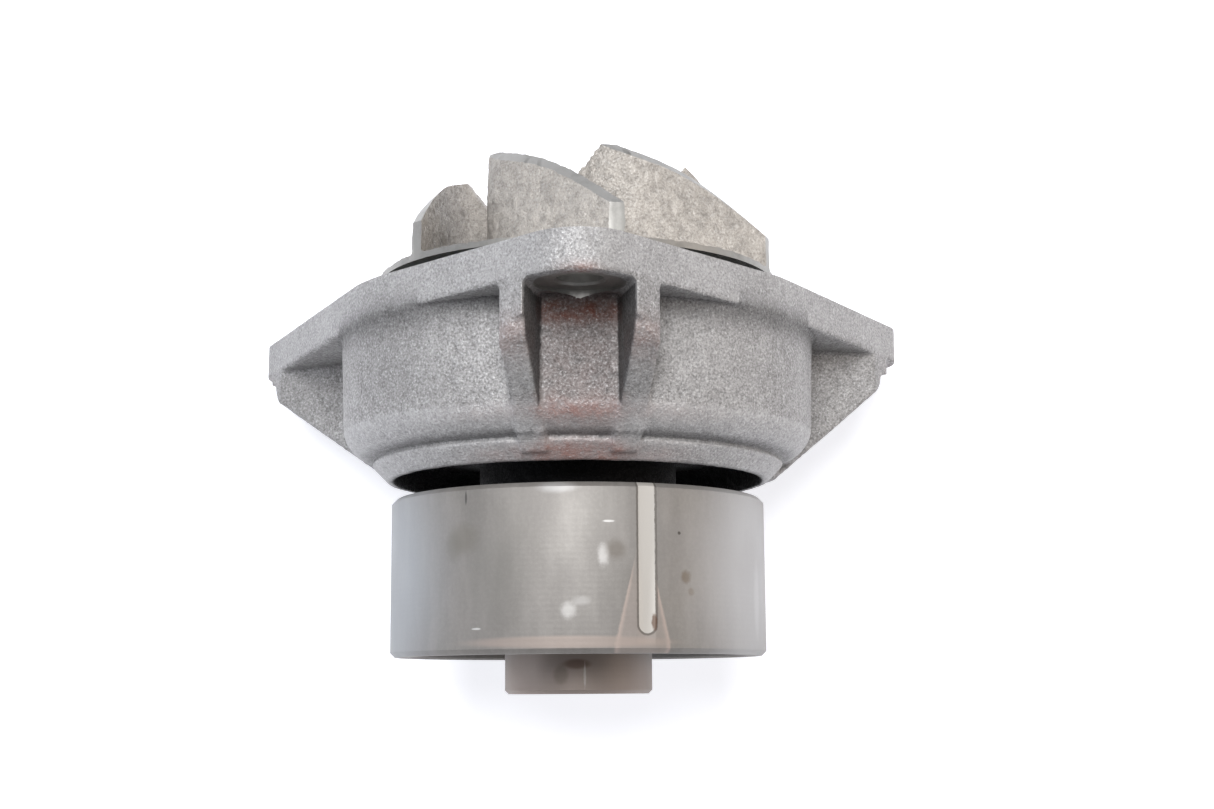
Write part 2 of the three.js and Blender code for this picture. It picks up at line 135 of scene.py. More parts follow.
class HousingSettings(bpy.types.PropertyGroup):
    """Sizes of the cast housing."""

    flange_thickness: length("Flange", "Thickness of the bolting flange", 10)
    flange_radius: length("Flange radius", "Radius of the flange between its ears", 64.3)
    body_depth: length("Body depth", "Lip of the body to the underside of the flange", 38.3)
    body_radius: length("Body radius", "Radius of the body at the flange", 63.9)
    foot_radius: length("Foot radius", "Radius of the body at its shoulder", 63.2)
    shoulder: length("Shoulder", "Rounding where the wall turns in to the lip", 8.4)
    lip_radius: length("Lip radius", "Radius of the lip that faces the pulley", 55.6)
    lip_chamfer: length("Lip chamfer", "Slope round the edge of the lip", 4.5)
    lip_step: length("Lip step", "Edge of the lip to the start of the shoulder", 5.9)
    lip_groove: length("Lip groove", "Depth of the groove between lip and shoulder", 1.8)
    lip_land: length("Lip land", "Flat left at the edge of the lip", 1.8)
    floor_recess: length("Floor recess", "Edge of the lip to the floor of the body", 8)
    floor: length("Floor", "Thickness of the floor", 7)
    wall: length("Wall", "Thickness of the chamber's wall", 6.6)
    boss_wall: length("Boss wall", "Iron round the seal's bore", 8.9)
    boss_drop: length("Boss drop", "Sealing face to the top of the seal boss", 2)
    snout_wall: length("Snout wall", "Iron round the bearing's bore", 7.2)
    snout_fillet: length("Snout fillet", "Rounding where the snout meets the floor", 4)
    web: length("Web", "Thickness of the webs in the chamber", 9)
    ear_radius: length("Ear radius", "Radius of a bolting ear", 13.5)
    bolt_radius: length("Bolt hole", "Radius of a bolt hole", 5.5)
    spot_radius: length("Spot face", "Radius of the machined seat round a bolt hole", 10.8)
    spot_depth: length("Spot depth", "Depth of the machined seat", 0.8)
    rib: length("Rib", "Thickness of the ribs under an ear", 6.8)
    rib_offset: length("Rib offset", "Bolt's axis to a rib, across the ear", 15.1)
    rib_round: length("Rib round", "Rounding where a rib turns in to the lip", 7)
    seat_gap: length("Seat gap", "Gap between the housing and what is pressed into it", 0.3)
    weep_radius: length("Weep hole", "Radius of the weep hole", 2.5)
    stock: length("Stock", "Iron that machining takes off a cast face", 1.2)
    voxel: length("Casting detail", "Edge of the smallest surface detail of the casting", 0.62)
    lump: length("Lumps", "Depth of the uneven sand-cast surface", 0.16)


class PulleySettings(bpy.types.PropertyGroup):
    """Sizes of the turned pulley."""

    rim_wall: length("Rim wall", "Thickness of the rim", 5.5)
    rim_width: length("Rim width", "Width of the face that the belt runs on", 41.4)
    rim_chamfer: length("Rim chamfer", "Chamfer on the edges of the rim", 1.2)
    hub_radius: length("Hub radius", "Radius of the hub", 19.6)
    hub_tail: length("Hub tail", "Hub beyond the inner face of the web", 1.5)
    hub_chamfer: length("Hub chamfer", "Chamfer on the hub's edge", 1)
    hub_fillet: length("Hub fillet", "Rounding between the hub and the web", 3)
    web_recess: length("Web recess", "Front edge of the rim to the web", 4)
    web: length("Web", "Thickness of the web", 7)
    bore_radius: length("Bore", "Radius of the hub's bore", 9.8)
    scar_angle: angle("Scar angle", "Place of the long shallow scar round the rim", 22.9)
    scar_width: length("Scar width", "Width of the scar", 4.4)
    scar_end: length("Scar end", "Hub end to the round end of the scar", 14.4)
    scar_depth: length("Scar depth", "Depth of the scar", 0.3)


class ImpellerSettings(bpy.types.PropertyGroup):
    """Sizes of the cast impeller."""

    disc_radius: length("Disc radius", "Radius of the back disc and of the vanes", 54)
    rim_thickness: length("Disc edge", "Thickness of the disc at its edge", 1.6)
    root_thickness: length("Disc root", "Thickness of the disc at the hub", 4.5)
    hub_radius: length("Hub radius", "Radius of the hub at the disc", 21)
    nose_radius: length("Nose radius", "Radius of the hub's end", 13.5)
    hub_height: length("Hub height", "Back of the disc to the hub's end", 17)
    hub_fillet: length("Hub fillet", "Rounding between the hub and the disc", 4)
    vanes: bpy.props.IntProperty(name="Vanes", description="Number of vanes", default=6, min=2)
    vane_phase: angle("Vane phase", "Angle of a vane at the disc's edge", 14.4)
    tip_thickness: length("Vane tip", "Thickness of a vane at the disc's edge", 3.0)
    root_thickness_vane: length("Vane root", "Thickness of a vane at its inner end", 2.4)
    tip_height: length("Tip height", "Vane above the disc's back, at the disc's edge", 10.1)
    peak_radius: length("Peak radius", "Radius where a vane is highest", 31.5)
    rise: bpy.props.FloatProperty(
        name="Rise", description="Height gained for each unit inwards", default=0.97
    )
    fall: bpy.props.FloatProperty(
        name="Fall", description="Height lost from the peak to the root", default=1.7
    )
    bore_radius: length("Bore", "Radius of the hub's bore", 8.3)
    voxel: length("Casting detail", "Edge of the smallest surface detail of the casting", 0.52)
    lump: length("Lumps", "Depth of the uneven sand-cast surface", 0.5)


class BearingSettings(bpy.types.PropertyGroup):
    """Sizes of the shaft, its bearing and the bearing's seals."""

    shaft_radius: length("Journal", "Radius of the shaft inside the bearing", 9.5)
    spindle_radius: length("Spindle", "Radius of the shaft under the seal and the impeller", 8)
    run_gap: length("Running gap", "Gap at the rolling elements", 0.3)
    cage: length("Cage", "Thickness of the cages", 2)
    centre_drill: length("Centre drill", "Radius of the centre hole in each end of the shaft", 3.2)


class SealSettings(bpy.types.PropertyGroup):
    """Sizes of the face seal."""

    cup_wall: length("Cup wall", "Thickness of the pressed cup", 0.8)
    cup_radius: length("Cup radius", "Radius of the cup where it is pressed in", 17.7)
    cup_hole: length("Cup hole", "Radius of the hole in the cup's floor", 10)
    cup_bore: length("Cup bore", "Radius of the housing's bore round the cup", 18)
    wire: length("Spring wire", "Radius of the spring's wire", 0.8)
    turns: bpy.props.IntProperty(name="Turns", description="Turns of the spring", default=3, min=1)
    bellows: length("Bellows", "Thickness of the bellows", 1.4)
    fold: length("Fold", "Depth of a fold of the bellows", 1.6)
    seat_rubber: length("Seat rubber", "Thickness of the rubber round the seat", 2)


class FinishSettings(bpy.types.PropertyGroup):
    """Colours of the finishes."""

    iron: colour("Cast iron", "Bare sand-cast iron", "#a09f9f")
    iron_dark: colour("Iron pits", "Pits and graphite in the casting", "#383634")
    # The bright grain colour below is also the colour of the painted highlight on the housing's flange
    # edge and lip.
    iron_light: colour("Iron peaks", "Rubbed tips of the grain", "#d8d8da")
    rust: colour("Rust", "Thin red-brown rust", "#824936")
    rough_iron: colour("Impeller iron", "Bare cast skin of the impeller", "#b6b1ab")
    # Painted shade: near-black laid into the housing's recesses, under its flange and inside its body,
    # where shade falls.
    painted_shade_colour: colour("Painted shade", "Painted shade in the casting's corners and recesses", "#101011")
    machined: colour("Machined iron", "Milled and bored faces of the housing", "#a5a4a1")
    vane_edge: colour("Vane edges", "Turned edges of the impeller", "#92918e")
    turned: colour("Turned steel", "Pulley's turned face", "#7b7875")
    scuff: colour("Scuff", "Bright rubbed metal", "#a19e9a")
    dull: colour("Dull steel", "Cloudy tarnish on the pulley", "#62605b")
    ground: colour("Ground steel", "Shaft, bearing ring, balls and rollers", "#b2b4b6")
    nylon: colour("Nylon", "Bearing cages", "#d9d0b2")
    rubber: colour("Rubber", "Lip seals, bellows and seat rubber", "#1c1c1e")
    brass: colour("Brass", "Pressed seal cup", "#c39d58")
    wire: colour("Spring wire", "Drawn spring steel", "#a9a9a6")
    carbon: colour("Carbon", "Seal's face ring", "#2b2b2d")
    ceramic: colour("Ceramic", "Seal's seat", "#e9e5db")


class StudioSettings(bpy.types.PropertyGroup):
    """Camera, lights and floor."""

    camera_place: bpy.props.FloatVectorProperty(
        name="Camera",
        description="Place of the camera",
        default=(0.027877, 0.001083, 0.472184),
        subtype="TRANSLATION",
    )
    camera_turn: bpy.props.FloatVectorProperty(
        name="Turn",
        description="Turn of the camera",
        default=[math.radians(a) for a in (9.2191, 2.4659, -0.3584)],
        subtype="EULER",
    )
    lens: bpy.props.FloatProperty(
        name="Lens", description="Focal length in millimetres", default=51.995
    )
    sky: bpy.props.FloatProperty(
        name="Sky", description="Strength of the even white light", default=0.26
    )
    key: bpy.props.FloatProperty(
        name="Key", description="Power of the main softbox in watts", default=10.5
    )
    fill: bpy.props.FloatProperty(
        name="Fill", description="Power of each side softbox in watts", default=1.8
    )
    floor: colour("Floor", "Matt white paper", "#d9dade")


# Angle round the shaft, distance from it, and the straight part of the ribs, for each ear.
EARS = (
    {"name": "top", "angle": math.radians(3.8), "pitch": 74.7 * MM, "straight": 10.5 * MM},
    {"name": "right", "angle": math.radians(115.2), "pitch": 85.5 * MM, "straight": 6.5 * MM},
    {"name": "left", "angle": math.radians(-121.2), "pitch": 98 * MM, "straight": 4.5 * MM},
)
WEB_ANGLES = tuple(math.radians(a) for a in (180, 60, -60))
# Middle line of a vane, from beyond the disc's edge inwards: radius, and angle back from that edge.
VANE_POINTS = ((57, -2), (43.1, 14.3), (32.5, 51.5), (22, 93))
VANE_LINE = tuple((r * MM, math.radians(a)) for r, a in VANE_POINTS)

# ------------------------------------------------------------------ modelling helpers


def clear_selection():
    if bpy.context.object and bpy.context.object.mode != "OBJECT":
        bpy.ops.object.mode_set(mode="OBJECT")
    bpy.ops.object.select_all(action="DESELECT")


def pick(obj):
    """Makes obj the only selected object."""
    clear_selection()
    obj.select_set(True)
    bpy.context.view_layer.objects.active = obj
    return obj


def named(name):
    """Names the active object and settles its place into its mesh."""
    obj = bpy.context.object
    bpy.ops.object.transform_apply(location=True, rotation=True, scale=True)
    obj.name = name
    obj.data.name = name
    return obj


def arc(cx, cy, radius, start, end, steps):
    """Points of an arc about (cx, cy), angles in degrees from the first axis."""
    turn = [math.radians(start + (end - start) * i / steps) for i in range(steps + 1)]
    return [(cx + radius * math.cos(a), cy + radius * math.sin(a)) for a in turn]


def drawn(name, points, closed=True):
    """A wire drawn vertex by vertex through the points, with a face over it when closed."""
    clear_selection()
    bpy.ops.mesh.primitive_plane_add(size=MM, location=(0, 0, 0))
    obj = named(name)
    bpy.ops.object.mode_set(mode="EDIT")
    bpy.ops.mesh.select_all(action="SELECT")
    bpy.ops.mesh.merge(type="CENTER")
    bpy.ops.transform.translate(value=Vector(points[0]))
    for before, after in zip(points, points[1:]):
        step = Vector(after) - Vector(before)
        bpy.ops.mesh.extrude_vertices_move(TRANSFORM_OT_translate={"value": step})
    if closed:
        bpy.ops.mesh.select_all(action="DESELECT")
        bpy.ops.object.mode_set(mode="OBJECT")
        obj.data.vertices[0].select = True
        obj.data.vertices[len(points) - 1].select = True
        bpy.ops.object.mode_set(mode="EDIT")
        bpy.ops.mesh.edge_face_add()
        bpy.ops.mesh.select_all(action="SELECT")
        bpy.ops.mesh.edge_face_add()
    return obj


def turned(name, profile, sides=128, centre=(0, 0)):
    """A solid spun about a line along Y from a closed profile of (radius, y)."""
    obj = drawn(name, [(centre[0] + r, y, centre[1]) for r, y in profile])
    bpy.ops.mesh.delete(type="ONLY_FACE")
    bpy.ops.mesh.select_all(action="SELECT")
    bpy.ops.mesh.spin(
        steps=sides, angle=2 * math.pi, center=(centre[0], 0, centre[1]), axis=(0, 1, 0)
    )
    bpy.ops.mesh.select_all(action="SELECT")
    bpy.ops.mesh.remove_doubles(threshold=1e-6)
    bpy.ops.mesh.normals_make_consistent(inside=False)
    bpy.ops.object.mode_set(mode="OBJECT")
    return obj


def raised(name, outline, depth):
    """A solid from a flat outline, pushed along the vector depth."""
    obj = drawn(name, outline)
    bpy.ops.mesh.select_all(action="SELECT")
    bpy.ops.mesh.extrude_region_move(TRANSFORM_OT_translate={"value": Vector(depth)})
    bpy.ops.mesh.select_all(action="SELECT")
    bpy.ops.mesh.normals_make_consistent(inside=False)
    bpy.ops.object.mode_set(mode="OBJECT")
    return obj


def finish_modifier(obj, kind, **settings):
    """Adds one modifier and applies it."""
    pick(obj)
    modifier = obj.modifiers.new(kind.title(), kind)
    for name, value in settings.items():
        setattr(modifier, name, value)
    bpy.ops.object.modifier_apply(modifier=modifier.name)


def combine(obj, tool, operation="DIFFERENCE"):
    """Cuts obj by the tool, or adds or intersects it, and removes the tool."""
    finish_modifier(obj, "BOOLEAN", object=tool, operation=operation, solver="MANIFOLD")
    bpy.data.objects.remove(tool)
    if len(obj.data.polygons) == 0:
        raise RuntimeError(f"{obj.name} came out empty")


def joined(name, parts):
    """Several meshes as one object."""
    clear_selection()
    for part in parts:
        part.select_set(True)
    bpy.context.view_layer.objects.active = parts[0]
    bpy.ops.object.join()
    return named(name)


def cast(obj, voxel, rounds, lump):
    """Fuses the parts of a casting, rounds its edges, and gives it an uneven sand surface."""
    finish_modifier(obj, "REMESH", mode="VOXEL", voxel_size=voxel)
    finish_modifier(obj, "SMOOTH", factor=0.5, iterations=rounds)
    for size, share in ((7 * MM, 0.8), (1.6 * MM, 0.6)):
        sand = bpy.data.textures.new("sand", "CLOUDS")
        sand.noise_scale = size
        sand.noise_depth = 2
        finish_modifier(
            obj,
            "DISPLACE",
            texture=sand,
            texture_coords="LOCAL",
            strength=2 * lump * share,
            mid_level=0.5,
        )
        bpy.data.textures.remove(sand)


def thin(obj, limit):
    """Leaves at most this number of triangles, fewest where the surface is flat."""
    count = sum(len(p.vertices) - 2 for p in obj.data.polygons)
    if count > limit:
        finish_modifier(obj, "DECIMATE", ratio=limit / count)


def soften(obj, degrees=35):
    pick(obj)
    bpy.ops.object.shade_smooth_by_angle(angle=math.radians(degrees))


def face_table(obj):
    """Centres and normals of all faces, as arrays."""
    count = len(obj.data.polygons)
    centres = np.zeros(count * 3, np.float32)
    normals = np.zeros(count * 3, np.float32)
    obj.data.polygons.foreach_get("center", centres)
    obj.data.polygons.foreach_get("normal", normals)
    return centres.reshape(-1, 3), normals.reshape(-1, 3)


def painted(obj, name, values):
    """Keeps one number for each vertex, for a material to read."""
    layer = obj.data.attributes.new(name, "FLOAT", "POINT")
    layer.data.foreach_set("value", np.clip(values, 0, 1).astype(np.float32))


def vertex_places(obj):
    places = np.zeros(len(obj.data.vertices) * 3, np.float32)
    obj.data.vertices.foreach_get("co", places)
    return places.reshape(-1, 3).T


def polar(turn, radius, y=0.0):
    return Vector((radius * math.sin(turn), y, radius * math.cos(turn)))


def put(obj, node, body, slot, *materials):
    """Gives the finished piece its finish and sets it in place of its CAD node."""
    obj.data.materials.clear()
    for material in materials:
        obj.data.materials.append(material)
    obj.name = node + "_finished"
    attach(obj, body)
    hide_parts(node)
    return obj


# ------------------------------------------------------------------ materials


def add(tree, kind, inputs=(), **settings):
    """Adds one shader node. Settings are its properties; inputs are values, or sockets to link."""
    node = tree.nodes.new("ShaderNode" + kind)
    for name, value in settings.items():
        setattr(node, name, value)
    for socket, value in dict(inputs).items():
        if isinstance(value, bpy.types.NodeSocket):
            tree.links.new(value, node.inputs[socket])
        else:
            node.inputs[socket].default_value = value
    return node


def per(mm):
    """Scale of a pattern whose marks are this many millimetres apart."""
    return 1 / (mm * MM)


def new_finish(name, metallic, roughness):
    """A new material: its tree, its shader and its object coordinates."""
    material = bpy.data.materials.new(name)
    material.use_nodes = True
    tree = material.node_tree
    shader = tree.nodes["Principled BSDF"]
    shader.inputs["Metallic"].default_value = metallic
    shader.inputs["Roughness"].default_value = roughness
    place = add(tree, "TexCoord").outputs["Object"]
    return material, tree, shader, place


def sand_cast(name, base, dark, light, rust=None, speck=1.0, lumps=0.2):
    """Sand-cast grey iron, bare. Reads as a matt skin full of dark pits and bright rubbed grains. With
    rust given, it also lays on rust, a painted highlight and painted shade where the mesh keeps them.
    """
    material, tree, shader, place = new_finish(name, 0.55, 0.6)
    patterns = []
    # Real grains are 0.2 to 0.4 mm; they are drawn a little coarser so that they show.
    for size, detail, roughness in ((0.62, 3, 0.7), (3.2, 4, 0.65), (26, 3, 0.5)):
        inputs = {"Vector": place, "Scale": per(size), "Detail": detail, "Roughness": roughness}
        patterns.append(add(tree, "TexNoise", inputs).outputs[0])
    grain, clump, cloud = patterns
    masks = []
    for pattern, start, end, most in (
        (cloud, 0.6, 0.36, 0.15),
        (clump, 0.56, 0.34, lumps),
        (grain, 0.5, 0.3, 0.62 * speck),
        (grain, 0.55, 0.74, 0.75 * speck),
    ):
        inputs = {"Value": pattern, "From Min": start, "From Max": end, "To Max": most}
        masks.append(add(tree, "MapRange", inputs).outputs[0])
    tone, shade, pits, peaks = masks
    layers = [(tone, dark), (shade, dark), (pits, dark)]
    if rust is None:
        layers.append((peaks, light))
    else:
        rusty, worn, grime = [
            add(tree, "Attribute", attribute_name=kept).outputs["Fac"]
            for kept in ("rust", "worn", "grime")
        ]
        inputs = {"Value": clump, "From Min": 0.3, "From Max": 0.62, "To Min": 0.35}
        broken = add(tree, "MapRange", inputs).outputs[0]
        amount = add(tree, "Math", {0: rusty, 1: broken}, operation="MULTIPLY").outputs[0]
        painted_shade_colour = bpy.context.scene.pump_finish.painted_shade_colour
        # Besides rust, the mesh carries painted light: a painted highlight in the bright grain colour,
        # and painted shade in near-black.
        layers += [(amount, rust), (peaks, light), (worn, light), (grime, painted_shade_colour)]
    skin = base
    for mask, tint in layers:
        skin = add(tree, "Mix", {0: mask, 6: skin, 7: tint}, data_type="RGBA").outputs[2]
    tree.links.new(skin, shader.inputs["Base Color"])
    inputs = {"Value": grain, "From Min": 0.35, "From Max": 0.7, "To Min": 0.78, "To Max": 0.42}
    tree.links.new(add(tree, "MapRange", inputs).outputs[0], shader.inputs["Roughness"])
    inputs = {"Height": clump, "Strength": 0.7, "Distance": 0.9 * MM}
    low = add(tree, "Bump", inputs).outputs[0]
    inputs = {"Height": grain, "Strength": 0.8, "Distance": 0.34 * MM, "Normal": low}
    tree.links.new(add(tree, "Bump", inputs).outputs[0], shader.inputs["Normal"])
    return material


def milled_iron(name, base, dark):
    """Milled or bored iron. Reads as flatter, brighter metal with cutter lines and a few stains."""
    material, tree, shader, place = new_finish(name, 0.85, 0.4)
    lines = add(
        tree,
        "TexWave",
        {
            "Vector": place,
            "Scale": per(1.1) / (2 * math.pi),
            "Distortion": 1.5,
            "Detail": 2,
            "Detail Scale": 2.0,
        },
        bands_direction="X",
    )
    stain = add(tree, "TexNoise", {"Vector": place, "Scale": per(7), "Detail": 5, "Roughness": 0.7})
    amount = add(
        tree,
        "MapRange",
        {"Value": stain.outputs[0], "From Min": 0.5, "From Max": 0.8, "To Max": 0.35},
    )
    skin = add(tree, "Mix", {0: amount.outputs[0], 6: base, 7: dark}, data_type="RGBA")
    tree.links.new(skin.outputs[2], shader.inputs["Base Color"])
    gloss = add(tree, "MapRange", {"Value": stain.outputs[0], "To Min": 0.3, "To Max": 0.6})
    tree.links.new(gloss.outputs[0], shader.inputs["Roughness"])
    relief = add(
        tree, "Bump", {"Height": lines.outputs[1], "Strength": 0.25, "Distance": 0.05 * MM}
    )
    tree.links.new(relief.outputs[0], shader.inputs["Normal"])
    return material


# Marks on the pulley's face, in the colours they show in full light: what it is, place round the rim
# in degrees, place along Y, half width and half height in millimetres, edge softness, colour, strength.
RIM_MARKS = (
    ("lower rubbed band", 0.0, 12.4, 26.0, 1.5, 0.5, "#cdbcb2", 0.6),
    ("upper scuff", -2.5, 49.8, 4.5, 1.4, 0.9, "#e2e2e2", 0.55),
    ("belt scuff", 10.4, 33.4, 1.4, 2.5, 0.85, "#e6e4e2", 0.75),
    ("belt scuff trail", 13.8, 34.6, 2.6, 2.4, 0.9, "#7f776e", 0.6),
    ("low scuff", 0.6, 20.0, 1.8, 2.0, 0.9, "#e4e2e0", 0.7),
    ("low scuff trail", 4.2, 22.2, 2.2, 1.1, 0.9, "#d6d4d2", 0.5),
    ("brown stain", 35.2, 28.2, 1.4, 1.6, 0.7, "#75644e", 0.7),
    ("brown stain, lower", 37.0, 24.6, 0.9, 1.0, 0.7, "#7d6d58", 0.5),
    ("dull patch", -31.0, 38.0, 4.6, 3.8, 0.8, "#8b867c", 0.5),
    ("dull patch, left", -34.5, 36.0, 2.6, 3.6, 0.8, "#8a867d", 0.45),
    ("dull patch, low", -22.0, 29.0, 8.0, 11.0, 0.9, "#8f8e88", 0.25),
    ("dark dot", 33.1, 38.9, 0.45, 0.45, 0.5, "#4d473f", 0.9),
    ("nick", -30.2, 48.1, 0.35, 1.7, 0.5, "#5d5b58", 0.8),
    ("bright scratch", 11.9, 41.4, 1.5, 0.28, 0.6, "#f2f1ef", 0.9),
    ("short scratch", -26.5, 15.8, 1.3, 0.26, 0.6, "#f2f1ef", 0.9),
    # The next three rows are painted highlights: one down the rim's right edge, a cool one down its
    # left side and a warm one down its right side.
    ("painted highlight, right edge", 70.0, 24.0, 2.0, 9.0, 0.9, "#f2f2f2", 0.6),
    ("painted highlight, left side", -66.0, 30.0, 22.0, 32.0, 0.95, "#d3dae2", 0.6),
    ("painted highlight, right side", 66.0, 30.0, 22.0, 32.0, 0.95, "#e4e4e6", 0.7),
)
# Marks on the hub: place round it in degrees, place along Y, half width, half height, colour, strength.
HUB_MARKS = (
    (0.0, 4.0, 90.0, 9.0, "#bfb0a7", 0.85),
    (2.0, 7.6, 9.0, 1.3, "#74503f", 0.6),
    (-10.0, 5.0, 5.0, 2.6, "#8c7e74", 0.5),
    (8.0, 4.6, 0.8, 3.2, "#e8dfd8", 0.8),
)


def spot_mask(tree, flat, around, along, half_w, half_h, soft, strength, ragged, upward=False):
    """Strength of an oval mark on the rolled-out rim. An upward mark runs on to the rim's edge."""
    centre = (around * RIM_R, along, 0)
    away = add(tree, "VectorMath", {0: flat, 1: centre}, operation="SUBTRACT").outputs[0]
    if upward:
        away = add(tree, "VectorMath", {0: away, 1: (1, 0, 1)}, operation="MINIMUM").outputs[0]
    size = (1 / half_w, 1 / half_h, 0)
    away = add(tree, "VectorMath", {0: away, 1: size}, operation="MULTIPLY").outputs[0]
    away = add(tree, "VectorMath", {0: away}, operation="LENGTH").outputs["Value"]
    # The edge wanders by up to 1.5 mm, and less on a mark that is smaller than that.
    wide = min(2 * soft, 1.5 * MM / half_w)
    wander = add(tree, "Math", {0: ragged, 1: wide, 2: away}, operation="MULTIPLY_ADD").outputs[0]
    edge_start = 1 + (soft + wide) / 2
    edge = {
        "Value": wander,
        "From Min": edge_start,
        "From Max": edge_start - 1.2 * soft,
        "To Max": strength,
    }
    return add(tree, "MapRange", edge, interpolation_type="SMOOTHSTEP").outputs[0]


def scar_flare(tree, along_rim, height, ragged):
    """A pale rub that widens from the scar towards the rim's edge, with a brighter border."""
    scar = bpy.context.scene.pump_pulley
    middle = (scar.scar_angle - math.radians(1.2)) * RIM_R
    inputs = {"Value": height, "From Min": 12 * MM, "From Max": 33 * MM}
    inputs |= {"To Min": 7.2 * MM, "To Max": 2.0 * MM}
    half = add(tree, "MapRange", inputs).outputs[0]
    beside = add(tree, "Math", {0: along_rim, 1: middle}, operation="SUBTRACT").outputs[0]
    beside = add(tree, "Math", {0: beside}, operation="ABSOLUTE").outputs[0]
    beside = add(tree, "Math", {0: beside, 1: half}, operation="DIVIDE").outputs[0]
    inputs = {0: ragged, 1: 0.12, 2: beside}
    beside = add(tree, "Math", inputs, operation="MULTIPLY_ADD").outputs[0]
    flare = 1.0
    for value, start, end, least, most in (
        (beside, 1.1, 1.0, 0.0, 0.38),
        (beside, 0.84, 1.0, 0.7, 1.9),
        (height, 34 * MM, 26 * MM, 0.0, 1.0),
    ):
        inputs = {"Value": value, "From Min": start, "From Max": end}
        inputs |= {"To Min": least, "To Max": most}
        share = add(tree, "MapRange", inputs).outputs[0]
        flare = add(tree, "Math", {0: flare, 1: share}, operation="MULTIPLY").outputs[0]
    return flare


def turned_steel(name, base, light):
    """Turned, belt-worn steel. Reads as satin grey with fine rings, rubbed streaks and stains, and
    painted highlights down both sides of the rim.
    """
    material, tree, shader, place = new_finish(name, 0.45, 0.55)
    f = bpy.context.scene.pump_finish
    scar = bpy.context.scene.pump_pulley
    x, y, z = add(tree, "SeparateXYZ", {0: place}).outputs
    turn = add(tree, "Math", {0: x, 1: z}, operation="ARCTAN2").outputs[0]
    along_rim = add(tree, "Math", {0: turn, 1: RIM_R}, operation="MULTIPLY").outputs[0]
    flat = add(tree, "CombineXYZ", {0: along_rim, 1: y}).outputs[0]
    # Tool rings are 0.15 mm apart; they are drawn 0.7 mm apart so that they show.
    inputs = {"Vector": flat, "Scale": per(0.7) / (2 * math.pi), "Distortion": 0.6}
    inputs |= {"Detail": 3, "Detail Scale": 0.3}
    rings = add(tree, "TexWave", inputs, bands_direction="Y").outputs[1]
    inputs = {0: flat, 1: (1, 0.22, 1)}
    stretched = add(tree, "VectorMath", inputs, operation="MULTIPLY").outputs[0]
    patterns = []
    for vector, size, detail, roughness in (
        (stretched, 6, 4, 0.6),
        (place, 16, 4, 0.5),
        (place, 0.9, 2, 0.7),
        (place, 1.3, 4, 0.75),
    ):
        inputs = {"Vector": vector, "Scale": per(size), "Detail": detail, "Roughness": roughness}
        patterns.append(add(tree, "TexNoise", inputs).outputs[0])
    streaks, cloud, speck, ragged = patterns
    layers = []
    for pattern, start, end, most, tint in (
        (cloud, 0.58, 0.3, 0.35, f.dull),
        (streaks, 0.42, 0.68, 0.2, light),
        (speck, 0.42, 0.7, 0.1, light),
    ):
        inputs = {"Value": pattern, "From Min": start, "From Max": end, "To Max": most}
        layers.append((add(tree, "MapRange", inputs).outputs[0], tint))
    radius = add(tree, "VectorMath", {0: place, 1: (1, 0, 1)}, operation="MULTIPLY").outputs[0]
    radius = add(tree, "VectorMath", {0: radius}, operation="LENGTH").outputs["Value"]
    rim_start = {0: radius, 1: RIM_R - 2 * MM}
    on_rim = add(tree, "Math", rim_start, operation="GREATER_THAN").outputs[0]
    hub_end = {0: radius, 1: RIM_R - 8 * MM}
    on_hub = add(tree, "Math", hub_end, operation="LESS_THAN").outputs[0]
    marks = [(scar_flare(tree, along_rim, y, ragged), "#dccac0", on_rim)]
    for _, around, along, half_w, half_h, soft, code, strength in RIM_MARKS:
        place_on = (math.radians(around), along * MM, half_w * MM, half_h * MM)
        mask = spot_mask(tree, flat, *place_on, soft, strength, ragged)
        marks.append((mask, code, on_rim))
    middle = scar.scar_end + scar.scar_width / 2
    for extra, code, strength in ((0.55 * MM, "#6f6a64", 0.75), (0.0, "#e3dfd9", 0.92)):
        half = scar.scar_width / 2 + extra
        place_on = (scar.scar_angle, middle, half, half)
        mask = spot_mask(tree, flat, *place_on, 0.08, strength, ragged, upward=True)
        marks.append((mask, code, on_rim))
    place_on = (math.radians(25), 17.2 * MM, 0.7 * MM, 2.0 * MM)
    marks.append((spot_mask(tree, flat, *place_on, 0.5, 0.8, ragged), "#6d4c35", on_rim))
    for around, along, half_w, half_h, code, strength in HUB_MARKS:
        place_on = (math.radians(around), along * MM, half_w * MM, half_h * MM)
        marks.append((spot_mask(tree, flat, *place_on, 0.6, strength, ragged), code, on_hub))
    for mask, code, where in marks:
        mask = add(tree, "Math", {0: mask, 1: where}, operation="MULTIPLY").outputs[0]
        layers.append((mask, tuple(c * MARK_SHADE for c in linear(code)[:3]) + (1.0,)))
    skin = base
    for mask, tint in layers:
        skin = add(tree, "Mix", {0: mask, 6: skin, 7: tint}, data_type="RGBA").outputs[2]
    tree.links.new(skin, shader.inputs["Base Color"])
    inputs = {"Value": cloud, "From Min": 0.3, "From Max": 0.7, "To Min": 0.5, "To Max": 0.64}
    tree.links.new(add(tree, "MapRange", inputs).outputs[0], shader.inputs["Roughness"])
    inputs = {"Height": rings, "Strength": 0.12, "Distance": 0.05 * MM}
    low = add(tree, "Bump", inputs).outputs[0]
    inputs = {"Height": speck, "Strength": 0.25, "Distance": 0.06 * MM, "Normal": low}
    tree.links.new(add(tree, "Bump", inputs).outputs[0], shader.inputs["Normal"])
    return material


